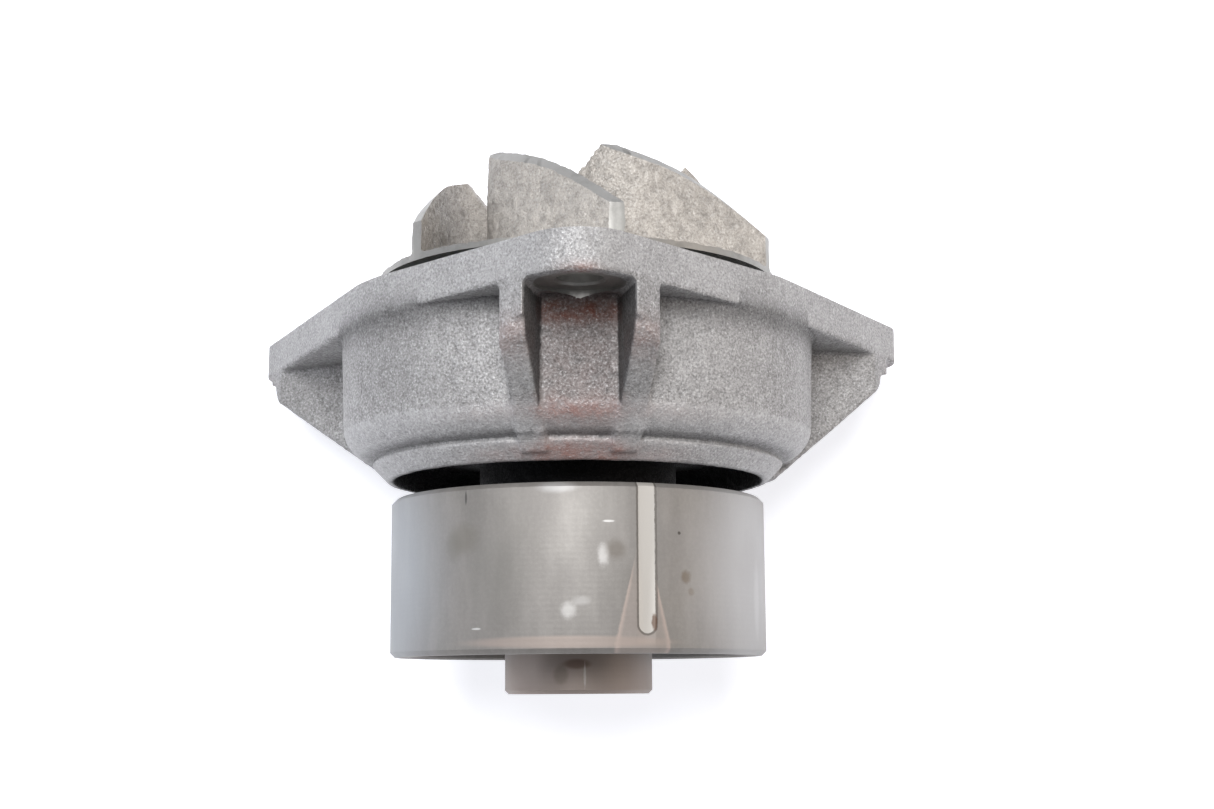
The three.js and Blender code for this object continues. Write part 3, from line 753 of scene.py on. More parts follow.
def fine_finish(name, key, metallic, roughness, mark_mm, depth_mm, spread=0.18, sideways=(1, 1, 1)):
    """A fine even surface in the named colour. A faint pattern varies its tone, gloss and relief."""
    base = getattr(bpy.context.scene.pump_finish, key)
    material, tree, shader, place = new_finish(name, metallic, roughness)
    laid = add(tree, "VectorMath", {0: place, 1: sideways}, operation="MULTIPLY").outputs[0]
    marks = add(
        tree, "TexNoise", {"Vector": laid, "Scale": per(mark_mm), "Detail": 4, "Roughness": 0.6}
    )
    darker = tuple(c * 0.62 for c in base[:3]) + (1.0,)
    amount = add(
        tree,
        "MapRange",
        {"Value": marks.outputs[0], "From Min": 0.6, "From Max": 0.35, "To Max": spread * 2},
    )
    skin = add(tree, "Mix", {0: amount.outputs[0], 6: base, 7: darker}, data_type="RGBA")
    tree.links.new(skin.outputs[2], shader.inputs["Base Color"])
    limits = {"To Min": roughness * (1 - spread), "To Max": roughness * (1 + spread)}
    gloss = add(
        tree, "MapRange", {"Value": marks.outputs[0], "From Min": 0.35, "From Max": 0.65, **limits}
    )
    tree.links.new(gloss.outputs[0], shader.inputs["Roughness"])
    relief = add(
        tree, "Bump", {"Height": marks.outputs[0], "Strength": 0.5, "Distance": depth_mm * MM}
    )
    tree.links.new(relief.outputs[0], shader.inputs["Normal"])
    return material, shader


def ground_steel():
    """Ground bearing steel. Reads as a near mirror with hair-fine grinding lines round it."""
    return fine_finish(
        "ground bearing steel", "ground", 1.0, 0.2, 1.2, 0.01, 0.2, (0.12, 1, 0.12)
    )[0]


def nylon():
    """Moulded nylon. Reads as a soft ivory plastic with a faint waxy sheen."""
    material, shader = fine_finish("moulded nylon", "nylon", 0.0, 0.45, 1.5, 0.02)
    shader.inputs["IOR"].default_value = 1.53
    shader.inputs["Subsurface Weight"].default_value = 0.05
    return material


def nitrile():
    """Moulded nitrile rubber. Reads as dull black with a dusty bloom."""
    material, shader = fine_finish("moulded nitrile rubber", "rubber", 0.0, 0.7, 0.9, 0.03)
    shader.inputs["IOR"].default_value = 1.52
    return material


def brass():
    """Deep-drawn brass. Reads as warm yellow metal with faint draw lines along the shaft."""
    return fine_finish("drawn brass", "brass", 1.0, 0.32, 1.0, 0.015, 0.2, (1, 0.15, 1))[0]


def spring_wire():
    """Drawn spring steel. Reads as grey wire with a soft shine."""
    return fine_finish("drawn spring steel", "wire", 1.0, 0.34, 0.7, 0.015)[0]


def carbon():
    """Lapped carbon graphite. Reads as flat black with a silky grey sheen."""
    material, shader = fine_finish("lapped carbon", "carbon", 0.0, 0.38, 0.6, 0.008)
    shader.inputs["IOR"].default_value = 1.8
    return material


def ceramic():
    """Lapped alumina. Reads as a smooth off-white with a hard gloss."""
    material, shader = fine_finish("lapped alumina", "ceramic", 0.0, 0.22, 1.4, 0.006, 0.08)
    shader.inputs["IOR"].default_value = 1.76
    return material


def paper(base):
    """Matt white paper. Reads as a plain pale sweep with the faintest tooth."""
    material, tree, shader, place = new_finish("matt white paper", 0.0, 0.9)
    tooth = add(tree, "TexNoise", {"Vector": place, "Scale": per(4), "Detail": 2})
    relief = add(tree, "Bump", {"Height": tooth.outputs[0], "Strength": 0.05, "Distance": 0.1 * MM})
    tree.links.new(relief.outputs[0], shader.inputs["Normal"])
    shader.inputs["Base Color"].default_value = base
    shader.inputs["Emission Color"].default_value = base
    shader.inputs["Emission Strength"].default_value = 0.9
    return material


# ------------------------------------------------------------------ housing


def ear_block(name, ear, y0, y1):
    """The hull of the flange's round base and one ear, from y0 to y1."""
    s = bpy.context.scene.pump_housing
    clear_selection()
    upright = (math.pi / 2, 0, 0)
    bpy.ops.mesh.primitive_cylinder_add(
        vertices=160,
        radius=s.flange_radius,
        depth=y1 - y0,
        location=(0, (y0 + y1) / 2, 0),
        rotation=upright,
    )
    block = named(name)
    place = polar(ear["angle"], ear["pitch"], (y0 + y1) / 2)
    bpy.ops.mesh.primitive_cylinder_add(
        vertices=72, radius=s.ear_radius, depth=y1 - y0, location=place, rotation=upright
    )
    block = joined(name, [block, bpy.context.object])
    bpy.ops.object.mode_set(mode="EDIT")
    bpy.ops.mesh.select_all(action="SELECT")
    bpy.ops.mesh.convex_hull()
    bpy.ops.mesh.normals_make_consistent(inside=False)
    bpy.ops.object.mode_set(mode="OBJECT")
    return block


def standing_plate(name, profile, thickness, turn):
    """A plate in the plane of the shaft at an angle, from a profile of (radius, y)."""
    across = polar(turn + math.pi / 2, thickness)
    outline = [polar(turn, r, y) - across / 2 for r, y in profile]
    return raised(name, outline, across)


def body_profile(s):
    """The casting as one turned wall: snout, floor, lip, body, chamber and seal boss."""
    flange_y = SEAL_Y - s.flange_thickness
    lip_y = flange_y - s.body_depth
    floor_y = lip_y + s.floor_recess
    chamber_y = floor_y + s.floor
    chamber_r = s.foot_radius - s.wall
    bore_r = RING_R - 3 * MM
    snout_r = RING_R + s.seat_gap + s.snout_wall
    boss_r = HIGH["seal_cup"].x + s.boss_wall - 3 * MM
    lip_inner_r = s.lip_radius - s.lip_chamfer - s.lip_land
    shoulder_x = s.foot_radius - s.shoulder
    shoulder_y = lip_y + s.lip_step + s.shoulder
    fillet = s.snout_fillet
    return [
        (bore_r, SNOUT_Y - s.stock),
        (snout_r, SNOUT_Y - s.stock),
        *arc(snout_r + fillet, floor_y - fillet, fillet, 180, 90, 6),
        (lip_inner_r - 1 * MM, floor_y),
        (lip_inner_r, floor_y - 1 * MM),
        (lip_inner_r, lip_y),
        (s.lip_radius - s.lip_chamfer, lip_y),
        (s.lip_radius, lip_y + s.lip_chamfer),
        (s.lip_radius - s.lip_groove, (lip_y + s.lip_chamfer + lip_y + s.lip_step) / 2),
        *arc(shoulder_x, shoulder_y, s.shoulder, -88, 0, 12),
        (s.body_radius, flange_y),
        (s.body_radius, SEAL_Y + s.stock),
        (chamber_r, SEAL_Y + s.stock),
        *arc(chamber_r - 3 * MM, chamber_y + 3 * MM, 3 * MM, 0, -90, 5),
        *arc(boss_r + 3 * MM, chamber_y + 3 * MM, 3 * MM, -90, -180, 5),
        (boss_r, SEAL_Y - s.boss_drop + s.stock),
        (bore_r, SEAL_Y - s.boss_drop + s.stock),
    ]


def ear_ribs(ear):
    """Two ribs under an ear: flush with the flange's edge, then slanting in to the lip."""
    s = bpy.context.scene.pump_housing
    flange_y = SEAL_Y - s.flange_thickness
    lip_y = flange_y - s.body_depth
    spread = math.acos((s.flange_radius - s.ear_radius) / ear["pitch"])
    swing = math.asin(s.rib_offset / ear["pitch"])
    reach = s.flange_radius / math.cos(spread - swing)
    turn_y = flange_y - ear["straight"]
    foot_y = lip_y + s.lip_chamfer / 3
    foot_r = s.lip_radius - MM
    slope = math.degrees(math.atan2(turn_y - foot_y, reach - foot_r))
    corner_y = turn_y + s.rib_round * (0.5 - 0.4 * math.cos(math.radians(slope)))
    profile = [
        (foot_r - 4 * MM, flange_y + 2 * MM),
        (reach + s.ear_radius, flange_y + 2 * MM),
        (reach + s.ear_radius, corner_y),
        *arc(reach - s.rib_round, corner_y, s.rib_round, 0, slope - 90, 8),
        (foot_r, foot_y),
        (foot_r - 4 * MM, foot_y),
    ]
    ribs = []
    for side in (-1, 1):
        rib = standing_plate("rib", profile, s.rib, ear["angle"] + side * swing)
        combine(rib, ear_block("ear_outline", ear, lip_y - MM, SEAL_Y - MM), "INTERSECT")
        ribs.append(rib)
    return ribs


def housing_casting():
    """The rough casting: turned wall, flange, ears, ribs and chamber webs, fused and sand-rough."""
    s = bpy.context.scene.pump_housing
    flange_y = SEAL_Y - s.flange_thickness
    chamber_y = flange_y - s.body_depth + s.floor_recess + s.floor
    chamber_r = s.foot_radius - s.wall
    parts = [turned("body", body_profile(s), 192)]
    for ear in EARS:
        block = ear_block("ear", ear, flange_y, SEAL_Y + s.stock)
        hollow = [(0, flange_y - 5 * MM), (chamber_r + MM, flange_y - 5 * MM)]
        hollow += [(chamber_r + MM, SEAL_Y + 9 * MM), (0, SEAL_Y + 9 * MM)]
        combine(block, turned("hollow", hollow, 96))
        parts += [block, *ear_ribs(ear)]
    boss_r = HIGH["seal_cup"].x + s.boss_wall - 3 * MM
    web = [
        (boss_r - 2 * MM, chamber_y - MM),
        (chamber_r + 2 * MM, chamber_y - MM),
        (chamber_r + 2 * MM, flange_y - 6 * MM),
        (boss_r - 2 * MM, SEAL_Y - s.boss_drop - 4 * MM),
    ]
    parts += [standing_plate("web", web, s.web, turn) for turn in WEB_ANGLES]
    casting = joined("housing", parts)
    cast(casting, s.voxel, 3, s.lump)
    return casting


def machine_housing(casting):
    """Faces and bores that are cut after casting: sealing face, bores, bolt holes, seats, weep hole."""
    s = bpy.context.scene.pump_housing
    flange_y = SEAL_Y - s.flange_thickness
    boss_y = SEAL_Y - s.boss_drop
    ring_bore = RING_R + s.seat_gap
    cup_bore = bpy.context.scene.pump_seal.cup_bore
    boss_face = HIGH["seal_cup"].x + s.boss_wall
    chamfer = 0.6 * MM
    bore = [
        (0, SNOUT_Y - 9 * MM),
        (ring_bore + 9 * MM, SNOUT_Y - 9 * MM),
        (ring_bore + 9 * MM, SNOUT_Y),
        (ring_bore + chamfer, SNOUT_Y),
        (ring_bore, SNOUT_Y + chamfer),
        (ring_bore, RING_END_Y + s.seat_gap),
        (cup_bore, RING_END_Y + s.seat_gap),
        (cup_bore, boss_y - chamfer),
        (cup_bore + chamfer, boss_y),
        (boss_face, boss_y),
        (boss_face, SEAL_Y),
        (130 * MM, SEAL_Y),
        (130 * MM, SEAL_Y + 9 * MM),
        (0, SEAL_Y + 9 * MM),
    ]
    combine(casting, turned("bore", bore, 128))
    for ear in EARS:
        place = polar(ear["angle"], ear["pitch"])
        seat_y = flange_y + s.spot_depth
        drill = [
            (0, flange_y - 4.5 * MM),
            (s.spot_radius, flange_y - 4.5 * MM),
            (s.spot_radius, seat_y),
            (s.bolt_radius + chamfer, seat_y),
            (s.bolt_radius, seat_y + chamfer),
            (s.bolt_radius, SEAL_Y - chamfer),
            (s.bolt_radius + 2 * chamfer, SEAL_Y + chamfer),
            (0, SEAL_Y + chamfer),
        ]
        combine(casting, turned("drill", drill, 64, (place.x, place.z)))
    weep_y = (RING_END_Y + LOW["seal_cup"].y) / 2
    clear_selection()
    reach = s.body_radius
    bpy.ops.mesh.primitive_cylinder_add(
        vertices=32,
        radius=s.weep_radius,
        depth=reach,
        location=(0, weep_y, -cup_bore / 2 - reach / 2),
    )
    combine(casting, named("weep_drill"))


def band(values, middle, half, power=2):
    """1 at the middle, fading either side of it. A higher power gives a flatter top."""
    return np.exp(-(((values - middle) / half) ** power))


def rust_and_painted_light_on_housing(obj):
    """Where thin rust shows: between the ribs of the top ear, along the shoulder and round the lip.
    Also keeps painted shade for the recesses and a painted highlight for the flange's edge and the lip.
    """
    x, y, z = vertex_places(obj) / MM
    ear = EARS[0]["angle"]
    radius = np.hypot(x, z)
    around = (np.arctan2(x, z) - ear) * 64
    across = x * math.cos(ear) - z * math.sin(ear)
    pocket = band(across, 0, 10.5, 6) * (radius < 67) * (z > 0)
    near = band(around, 0, 33, 4)
    front = z > 0
    rust = 0.3 * pocket
    rust += 1.1 * pocket * band(y, 90.5, 2.8)
    rust += (0.75 * pocket + 0.3 * near * front) * band(y, 66.6, 2.0)
    rust += (1.1 * pocket + 0.6 * near * front) * band(y, 57.6, 2.2)
    ribs = (radius > 68) & (radius < 84) & (np.abs(around) < 22) & front
    rust += 0.4 * ribs * band(y, 82, 4.5)
    rust += 0.6 * (radius > 80) * front * band(across, 0, 4.5) * band(y, 95, 1.6)
    for other in EARS[1:]:
        turn = other["angle"]
        beside = x * math.cos(turn) - z * math.sin(turn)
        outward = x * math.sin(turn) + z * math.cos(turn)
        rust += 0.35 * (outward > 60) * band(beside, 0, 12, 4) * band(y, 90, 5)
    rust *= radius > 50
    painted(obj, "rust", 0.74 * rust)
    s = bpy.context.scene.pump_housing
    inner = (s.lip_radius - s.lip_chamfer - s.lip_land) / MM
    # Painted shade: black inside the body below the lip, darker towards the top of the pocket under the
    # top ear, on the ribs' inner faces, on the wall under the flange and in the lip's groove.
    grime = 1.0 * (radius < inner + 0.6) * (y < 68)
    upper = np.clip((y - 67) / 24, 0, 1)
    grime = np.maximum(grime, pocket * (radius > 60) * (y < 94) * (0.16 + 0.42 * upper))
    swing = math.asin(s.rib_offset / EARS[0]["pitch"])
    for rib_turn, way in ((ear - swing, 1), (ear + swing, -1)):
        out = way * (x * math.cos(rib_turn) - z * math.sin(rib_turn)) - s.rib / MM / 2
        side = band(out, 0.45, 0.75, 4) * (radius > 64.0) * (radius < 80) * front
        grime = np.maximum(grime, 0.8 * side * (y < 93.5))
    wall = (np.abs(radius - 63.6) < 1.6) * band(y, 93.5, 4.2)
    grime = np.maximum(grime, 0.5 * wall)
    groove = band(y, 61.9, 0.8) * (radius < 59) * (radius > inner + 1)
    grime = np.maximum(grime, 0.5 * groove)
    painted(obj, "grime", grime)
    # Painted highlight on the flange's outer edge and round the lip.
    painted(
        obj, "worn", 0.14 * (y > 95.3) * (radius > 62) + 0.22 * (y < 69) * (radius > inner + 0.6)
    )


def mark_machined_housing(obj):
    """Gives the cut faces the machined finish, the second material."""
    s = bpy.context.scene.pump_housing
    centres, normals = face_table(obj)
    x, y, z = centres.T
    radius = np.hypot(x, z)
    ring_bore = RING_R + s.seat_gap
    tiny = 0.03 * MM
    cut = (y > SEAL_Y - tiny) | ((y < SNOUT_Y + tiny) & (radius < ring_bore + 8 * MM))
    cut |= radius < ring_bore + tiny
    cut |= (np.abs(y - (SEAL_Y - s.boss_drop)) < tiny) & (normals[:, 1] > 0.99)
    for ear in EARS:
        place = polar(ear["angle"], ear["pitch"])
        away = np.hypot(x - place.x, z - place.z)
        inside = (away < s.spot_radius + tiny) & (y > SEAL_Y - s.flange_thickness - 4.5 * MM)
        seat = np.abs(y - (SEAL_Y - s.flange_thickness + s.spot_depth)) < tiny
        cut |= inside & (
            seat | (away < s.bolt_radius + 1.3 * MM) | (away > s.spot_radius - tiny * 4)
        )
    obj.data.polygons.foreach_set("material_index", cut.astype(np.int32))


class PUMP_OT_housing(bpy.types.Operator):
    """Casts and machines the housing"""

    bl_idname = "pump.housing"
    bl_label = "Housing"

    def execute(self, context):
        f = context.scene.pump_finish
        obj = housing_casting()
        machine_housing(obj)
        thin(obj, HOUSING_TRIANGLES)
        rust_and_painted_light_on_housing(obj)
        soften(obj, 40)
        skin = sand_cast("sand-cast grey iron", f.iron, f.iron_dark, f.iron_light, f.rust, 0.85)
        milled = milled_iron("milled grey iron", f.machined, f.iron_dark)
        put(obj, "housing", "housing", "cast_iron", skin, milled)
        mark_machined_housing(obj)
        return {"FINISHED"}


# ------------------------------------------------------------------ pulley


class PUMP_OT_pulley(bpy.types.Operator):
    """Turns the drive pulley"""

    bl_idname = "pump.pulley"
    bl_label = "Drive pulley"

    def execute(self, context):
        s = context.scene.pump_pulley
        f = context.scene.pump_finish
        front_y = RIM_BACK_Y - s.rim_width
        web_y = front_y + s.web_recess
        web_back_y = web_y + s.web
        inner_r = RIM_R - s.rim_wall
        edge = 0.5 * MM
        profile = [
            (s.bore_radius + edge, 0),
            (s.hub_radius - s.hub_chamfer, 0),
            (s.hub_radius, s.hub_chamfer),
            *arc(s.hub_radius + s.hub_fillet, web_y - s.hub_fillet, s.hub_fillet, 180, 90, 8),
            *arc(inner_r - 1.5 * MM, web_y - 1.5 * MM, 1.5 * MM, 90, 0, 5),
            (inner_r, front_y + edge),
            (inner_r + edge, front_y),
            (RIM_R - s.rim_chamfer, front_y),
            (RIM_R, front_y + s.rim_chamfer),
            (RIM_R, RIM_BACK_Y - s.rim_chamfer),
            (RIM_R - s.rim_chamfer, RIM_BACK_Y),
            (inner_r + edge, RIM_BACK_Y),
            (inner_r, RIM_BACK_Y - edge),
            *arc(inner_r - 2 * MM, web_back_y + 2 * MM, 2 * MM, 0, -90, 5),
            (s.hub_radius, web_back_y),
            (s.hub_radius, web_back_y + s.hub_tail - edge),
            (s.hub_radius - edge, web_back_y + s.hub_tail),
            (s.bore_radius + edge, web_back_y + s.hub_tail),
            (s.bore_radius, web_back_y + s.hub_tail - edge),
            (s.bore_radius, edge),
        ]
        obj = turned("drive_pulley", profile, 256)
        combine(obj, self.scar(s))
        finish_modifier(
            obj,
            "BEVEL",
            width=0.12 * MM,
            segments=2,
            limit_method="ANGLE",
            angle_limit=math.radians(30),
        )
        soften(obj, 30)
        steel = turned_steel("turned and belt-worn steel", f.turned, f.scuff)
        put(obj, "drive_pulley", "rotor", "turned_steel", steel)
        return {"FINISHED"}

    def scar(self, s):
        """A long bar with a round end, laid just into the rim's face."""
        half = s.scar_width / 2
        out = polar(s.scar_angle, 1)
        side = polar(s.scar_angle + math.pi / 2, 1)
        top = RIM_BACK_Y + 5 * MM
        flat = [(half, top), *arc(0, s.scar_end + half, half, 0, -180, 12), (-half, top)]
        floor = out * (RIM_R - s.scar_depth)
        outline = [floor + side * u + Vector((0, v, 0)) for u, v in flat]
        return raised("scar", outline, out * 6 * MM)


# ------------------------------------------------------------------ impeller


def smooth_line(points, steps):
    """Points and directions along a smooth curve through the given points."""
    line = [points[0], *points, points[-1]]
    places = []
    ways = []
    for i in range(steps + 1):
        t = i / steps * (len(points) - 1)
        k = min(int(t), len(points) - 2)
        t -= k
        a, b, c, d = line[k : k + 4]
        out = (c - a) / 2
        back = (d - b) / 2
        place = b * (2 * t**3 - 3 * t**2 + 1) + out * (t**3 - 2 * t**2 + t)
        place += c * (3 * t**2 - 2 * t**3)
        place += back * (t**3 - t**2)
        places.append(place)
        way = b * (6 * t**2 - 6 * t) + out * (3 * t**2 - 4 * t + 1)
        way += c * (6 * t - 6 * t**2)
        way += back * (3 * t**2 - 2 * t)
        ways.append(way)
    return places, ways


def vane(s, index):
    """One curved vane as a tall plate, thickest at the disc's edge."""
    phase = s.vane_phase - index * 2 * math.pi / s.vanes
    steps = 20
    places, ways = smooth_line([polar(phase - back, r) for r, back in VANE_LINE], steps)
    outer = []
    inner = []
    for i, (place, way) in enumerate(zip(places, ways)):
        half = (s.tip_thickness + (s.root_thickness_vane - s.tip_thickness) * i / steps) / 2
        side = Vector((way.z, 0, -way.x)).normalized() * half
        outer.append(place + side)
        inner.append(place - side)
    outline = [p + Vector((0, DISC_Y + 0.4 * MM, 0)) for p in outer + inner[::-1]]
    return raised("vane", outline, (0, 42 * MM, 0))


def vane_cap(s, extra, inside):
    """The turned shape that bounds the vanes: their ends, sloping tops and slanting inner edges."""
    peak = DISC_Y + s.tip_height + s.rise * (s.disc_radius - s.peak_radius)
    tip = DISC_Y + s.tip_height
    profile = [(0, DISC_Y), (s.disc_radius + extra, DISC_Y), (s.disc_radius + extra, tip + extra)]
    if inside:
        hub = s.hub_radius - 2 * MM
        root = peak - s.fall * (s.peak_radius - s.hub_radius)
        profile += [(s.peak_radius, peak + extra), (s.hub_radius, root)]
        profile += [(hub, root), (hub, DISC_Y + MM), (0, DISC_Y + MM)]
    else:
        over = s.peak_radius - 4 * MM
        profile += [(over, peak + s.rise * 4 * MM), (0, peak + s.rise * 4 * MM)]
    return turned("vane_cap", profile, 192)


class PUMP_OT_impeller(bpy.types.Operator):
    """Casts and machines the impeller"""

    bl_idname = "pump.impeller"
    bl_label = "Impeller"

    def execute(self, context):
        s = context.scene.pump_impeller
        f = context.scene.pump_finish
        fillet = s.hub_fillet
        root_y = DISC_Y + s.root_thickness
        disc = [
            (5 * MM, DISC_Y - MM),
            (s.disc_radius + MM, DISC_Y - MM),
            (s.disc_radius + MM, DISC_Y + s.rim_thickness - 0.1 * MM),
            *arc(s.hub_radius + fillet, root_y + fillet, fillet, 270, 180, 6),
            (s.hub_radius - MM, root_y + 2 * fillet),
            *arc(s.nose_radius - 2 * MM, DISC_Y + s.hub_height - 2 * MM, 2 * MM, 10, 90, 4),
            (5 * MM, DISC_Y + s.hub_height),
        ]
        parts = [turned("disc", disc, 160)]
        for index in range(s.vanes):
            blade = vane(s, index)
            combine(blade, vane_cap(s, MM, True), "INTERSECT")
            parts.append(blade)
        obj = joined("impeller", parts)
        cast(obj, s.voxel, 5, s.lump)
        combine(obj, vane_cap(s, 0, False), "INTERSECT")
        pocket_r = HIGH["seal_seat_rubber"].x + 0.3 * MM
        pocket_y = HIGH["seal_seat_rubber"].y + 0.3 * MM
        top = DISC_Y + s.hub_height
        bore = [
            (0, DISC_Y - 5 * MM),
            (pocket_r, DISC_Y - 5 * MM),
            (pocket_r, pocket_y),
            (s.bore_radius, pocket_y),
            (s.bore_radius, top - 0.8 * MM),
            (s.bore_radius + 1.6 * MM, top + 0.8 * MM),
            (0, top + 0.8 * MM),
        ]
        combine(obj, turned("bore", bore, 96))
        thin(obj, IMPELLER_TRIANGLES)
        soften(obj, 40)
        rough = sand_cast(
            "rough sand-cast iron", f.rough_iron, f.iron_dark, f.iron_light, None, 0.45, 0.3
        )
        edges = milled_iron("turned vane edges", f.vane_edge, f.iron_dark)
        put(obj, "impeller", "rotor", "rough_iron", rough, edges)
        centres = face_table(obj)[0]
        x, y, z = centres.T
        radius = np.hypot(x, z)
        tiny = 0.05 * MM
        slope_top = DISC_Y + s.tip_height + s.rise * (s.disc_radius - radius)
        cut = (radius > s.disc_radius - tiny) | (np.abs(y - slope_top) < tiny) | (y < DISC_Y + tiny)
        cut |= radius < s.bore_radius + tiny
        cut |= (radius < pocket_r + tiny) & (y < pocket_y + tiny)
        obj.data.polygons.foreach_set("material_index", cut.astype(np.int32))
        return {"FINISHED"}


# ------------------------------------------------------------------ shaft and bearing


class PUMP_OT_shaft(bpy.types.Operator):
    """Turns and grinds the shaft"""

    bl_idname = "pump.shaft"
    bl_label = "Shaft"

    def execute(self, context):
        s = context.scene.pump_bearing
        groove_r = BALL_R + s.run_gap
        half = math.degrees(math.asin((TRACK_R - s.shaft_radius) / groove_r))
        step_y = RING_END_Y + s.run_gap
        cone = s.centre_drill
        profile = [
            (0, cone * 1.5),
            (cone, 0),
            (s.shaft_radius - 0.8 * MM, 0),
            (s.shaft_radius, 0.8 * MM),
            *arc(TRACK_R, BALL_Y, groove_r, 270 - half, 90 + half, 12),
            (s.shaft_radius, step_y),
            (s.spindle_radius, step_y + MM),
            (s.spindle_radius, SHAFT_END_Y - 0.8 * MM),
            (s.spindle_radius - 0.8 * MM, SHAFT_END_Y),
            (cone, SHAFT_END_Y),
            (0, SHAFT_END_Y - cone * 1.5),
        ]
        obj = turned("shaft", profile, 128)
        soften(obj, 30)
        put(obj, "shaft", "rotor", "ground_steel", ground_steel())
        return {"FINISHED"}


def ringed(node, body, slot, material, profile, sides=96):
    """A finished piece that is turned in one go."""
    obj = turned(node, profile, sides)
    soften(obj, 35)
    return put(obj, node, body, slot, material)


def ring_section(node, inner, outer):
    """Section of a plain ring with its four edges taken off."""
    y0, y1 = LOW[node].y, HIGH[node].y
    edge = 0.3 * MM
    return [
        (inner, y0 + edge),
        (inner + edge, y0),
        (outer - edge, y0),
        (outer, y0 + edge),
        (outer, y1 - edge),
        (outer - edge, y1),
        (inner + edge, y1),
        (inner, y1 - edge),
    ]


def lip_seal_profile(s, node):
    """A shield with a soft double lip close to the shaft."""
    y0, y1, outer = LOW[node].y, HIGH[node].y, HIGH[node].x
    inner = s.shaft_radius + s.run_gap
    middle = (y0 + y1) / 2
    return [
        (inner, y0 + 0.5 * MM),
        (inner + 0.9 * MM, y0 + 0.1 * MM),
        (inner + 1.5 * MM, y0),
        (outer - 0.3 * MM, y0),
        (outer, y0 + 0.3 * MM),
        (outer, y1 - 0.3 * MM),
        (outer - 0.3 * MM, y1),
        (inner + 1.5 * MM, y1),
        (inner + 0.9 * MM, y1 - 0.1 * MM),
        (inner, y1 - 0.5 * MM),
        (inner + 0.5 * MM, middle),
    ]


def cage(node, y, count, pocket):
    """A band with one open pocket for each ball or roller."""
    s = bpy.context.scene.pump_bearing
    obj = turned(node, ring_section(node, TRACK_R - s.cage / 2, TRACK_R + s.cage / 2), 120)
    for i in range(count):
        turn = 2 * math.pi * i / count
        start = polar(turn, TRACK_R - 3 * MM)
        outline = [
            start + polar(turn + math.pi / 2, u) + Vector((0, y + v, 0)) for u, v in pocket
        ]
        combine(obj, raised("pocket", outline, polar(turn, 6 * MM)))
    soften(obj, 35)
    return obj


class PUMP_OT_bearing(bpy.types.Operator):
    """Makes the bearing's outer ring, lip seals, cages, balls and rollers"""

    bl_idname = "pump.bearing"
    bl_label = "Bearing"

    def execute(self, context):
        s = context.scene.pump_bearing
        steel = ground_steel()
        groove_r = BALL_R + s.run_gap
        track = TRACK_R + ROLLER_R + s.run_gap
        half = math.degrees(math.asin((track - TRACK_R) / groove_r))
        ring = [
            (track, RING_Y + 0.4 * MM),
            (track + 0.4 * MM, RING_Y),
            (RING_R - 0.6 * MM, RING_Y),
            (RING_R, RING_Y + 0.6 * MM),
            (RING_R, RING_END_Y - 0.6 * MM),
            (RING_R - 0.6 * MM, RING_END_Y),
            (track + 0.4 * MM, RING_END_Y),
            (track, RING_END_Y - 0.4 * MM),
            *arc(TRACK_R, BALL_Y, groove_r, half, -half, 12),
        ]
        ringed("bearing_outer_ring", "housing", "ground_steel", steel, ring, 128)
        rubber = nitrile()
        for node in ("pulley_side_lip_seal", "pump_side_lip_seal"):
            ringed(node, "housing", "black_rubber", rubber, lip_seal_profile(s, node))
        plastic = nylon()
        pocket = arc(0, 0, groove_r, 0, 345, 23)
        obj = cage("ball_cage", BALL_Y, BALL_COUNT, pocket)
        put(obj, "ball_cage", "ball_train", "cage_nylon", plastic)
        wide = ROLLER_R + s.run_gap
        long = ROLLER_L / 2 + s.run_gap
        window = [(-wide, -long), (wide, -long), (wide, long), (-wide, long)]
        obj = cage("roller_cage", ROLLER_Y, ROLLER_COUNT, window)
        put(obj, "roller_cage", "roller_train", "cage_nylon", plastic)
        self.rolling("ball", BALL_COUNT, arc(0, 0, BALL_R, -90, 90, 16), BALL_Y, steel)
        crown = 0.5 * MM
        end = ROLLER_L / 2
        roller = [
            (0, -end),
            (ROLLER_R - crown, -end),
            (ROLLER_R - 0.1 * MM, -end + crown),
            (ROLLER_R, -end + 3 * crown),
            (ROLLER_R, end - 3 * crown),
            (ROLLER_R - 0.1 * MM, end - crown),
            (ROLLER_R - crown, end),
            (0, end),
        ]
        self.rolling("roller", ROLLER_COUNT, roller, ROLLER_Y, steel)
        return {"FINISHED"}

    def rolling(self, kind, count, profile, y, steel):
        """The balls or rollers: one is turned, and the others are copies with a mesh of their own."""
        first = turned(kind, [(r, y + v) for r, v in profile], 32)
        soften(first, 35)
        for i in range(count):
            obj = first.copy()
            obj.data = first.data.copy()
            bpy.context.scene.collection.objects.link(obj)
            pick(obj)
            obj.location = polar(2 * math.pi * i / count, TRACK_R)
            node = f"{kind}_{i + 1}"
            put(named(node), node, f"{kind}_train", "ground_steel", steel)
        bpy.data.objects.remove(first)


# ------------------------------------------------------------------ face seal


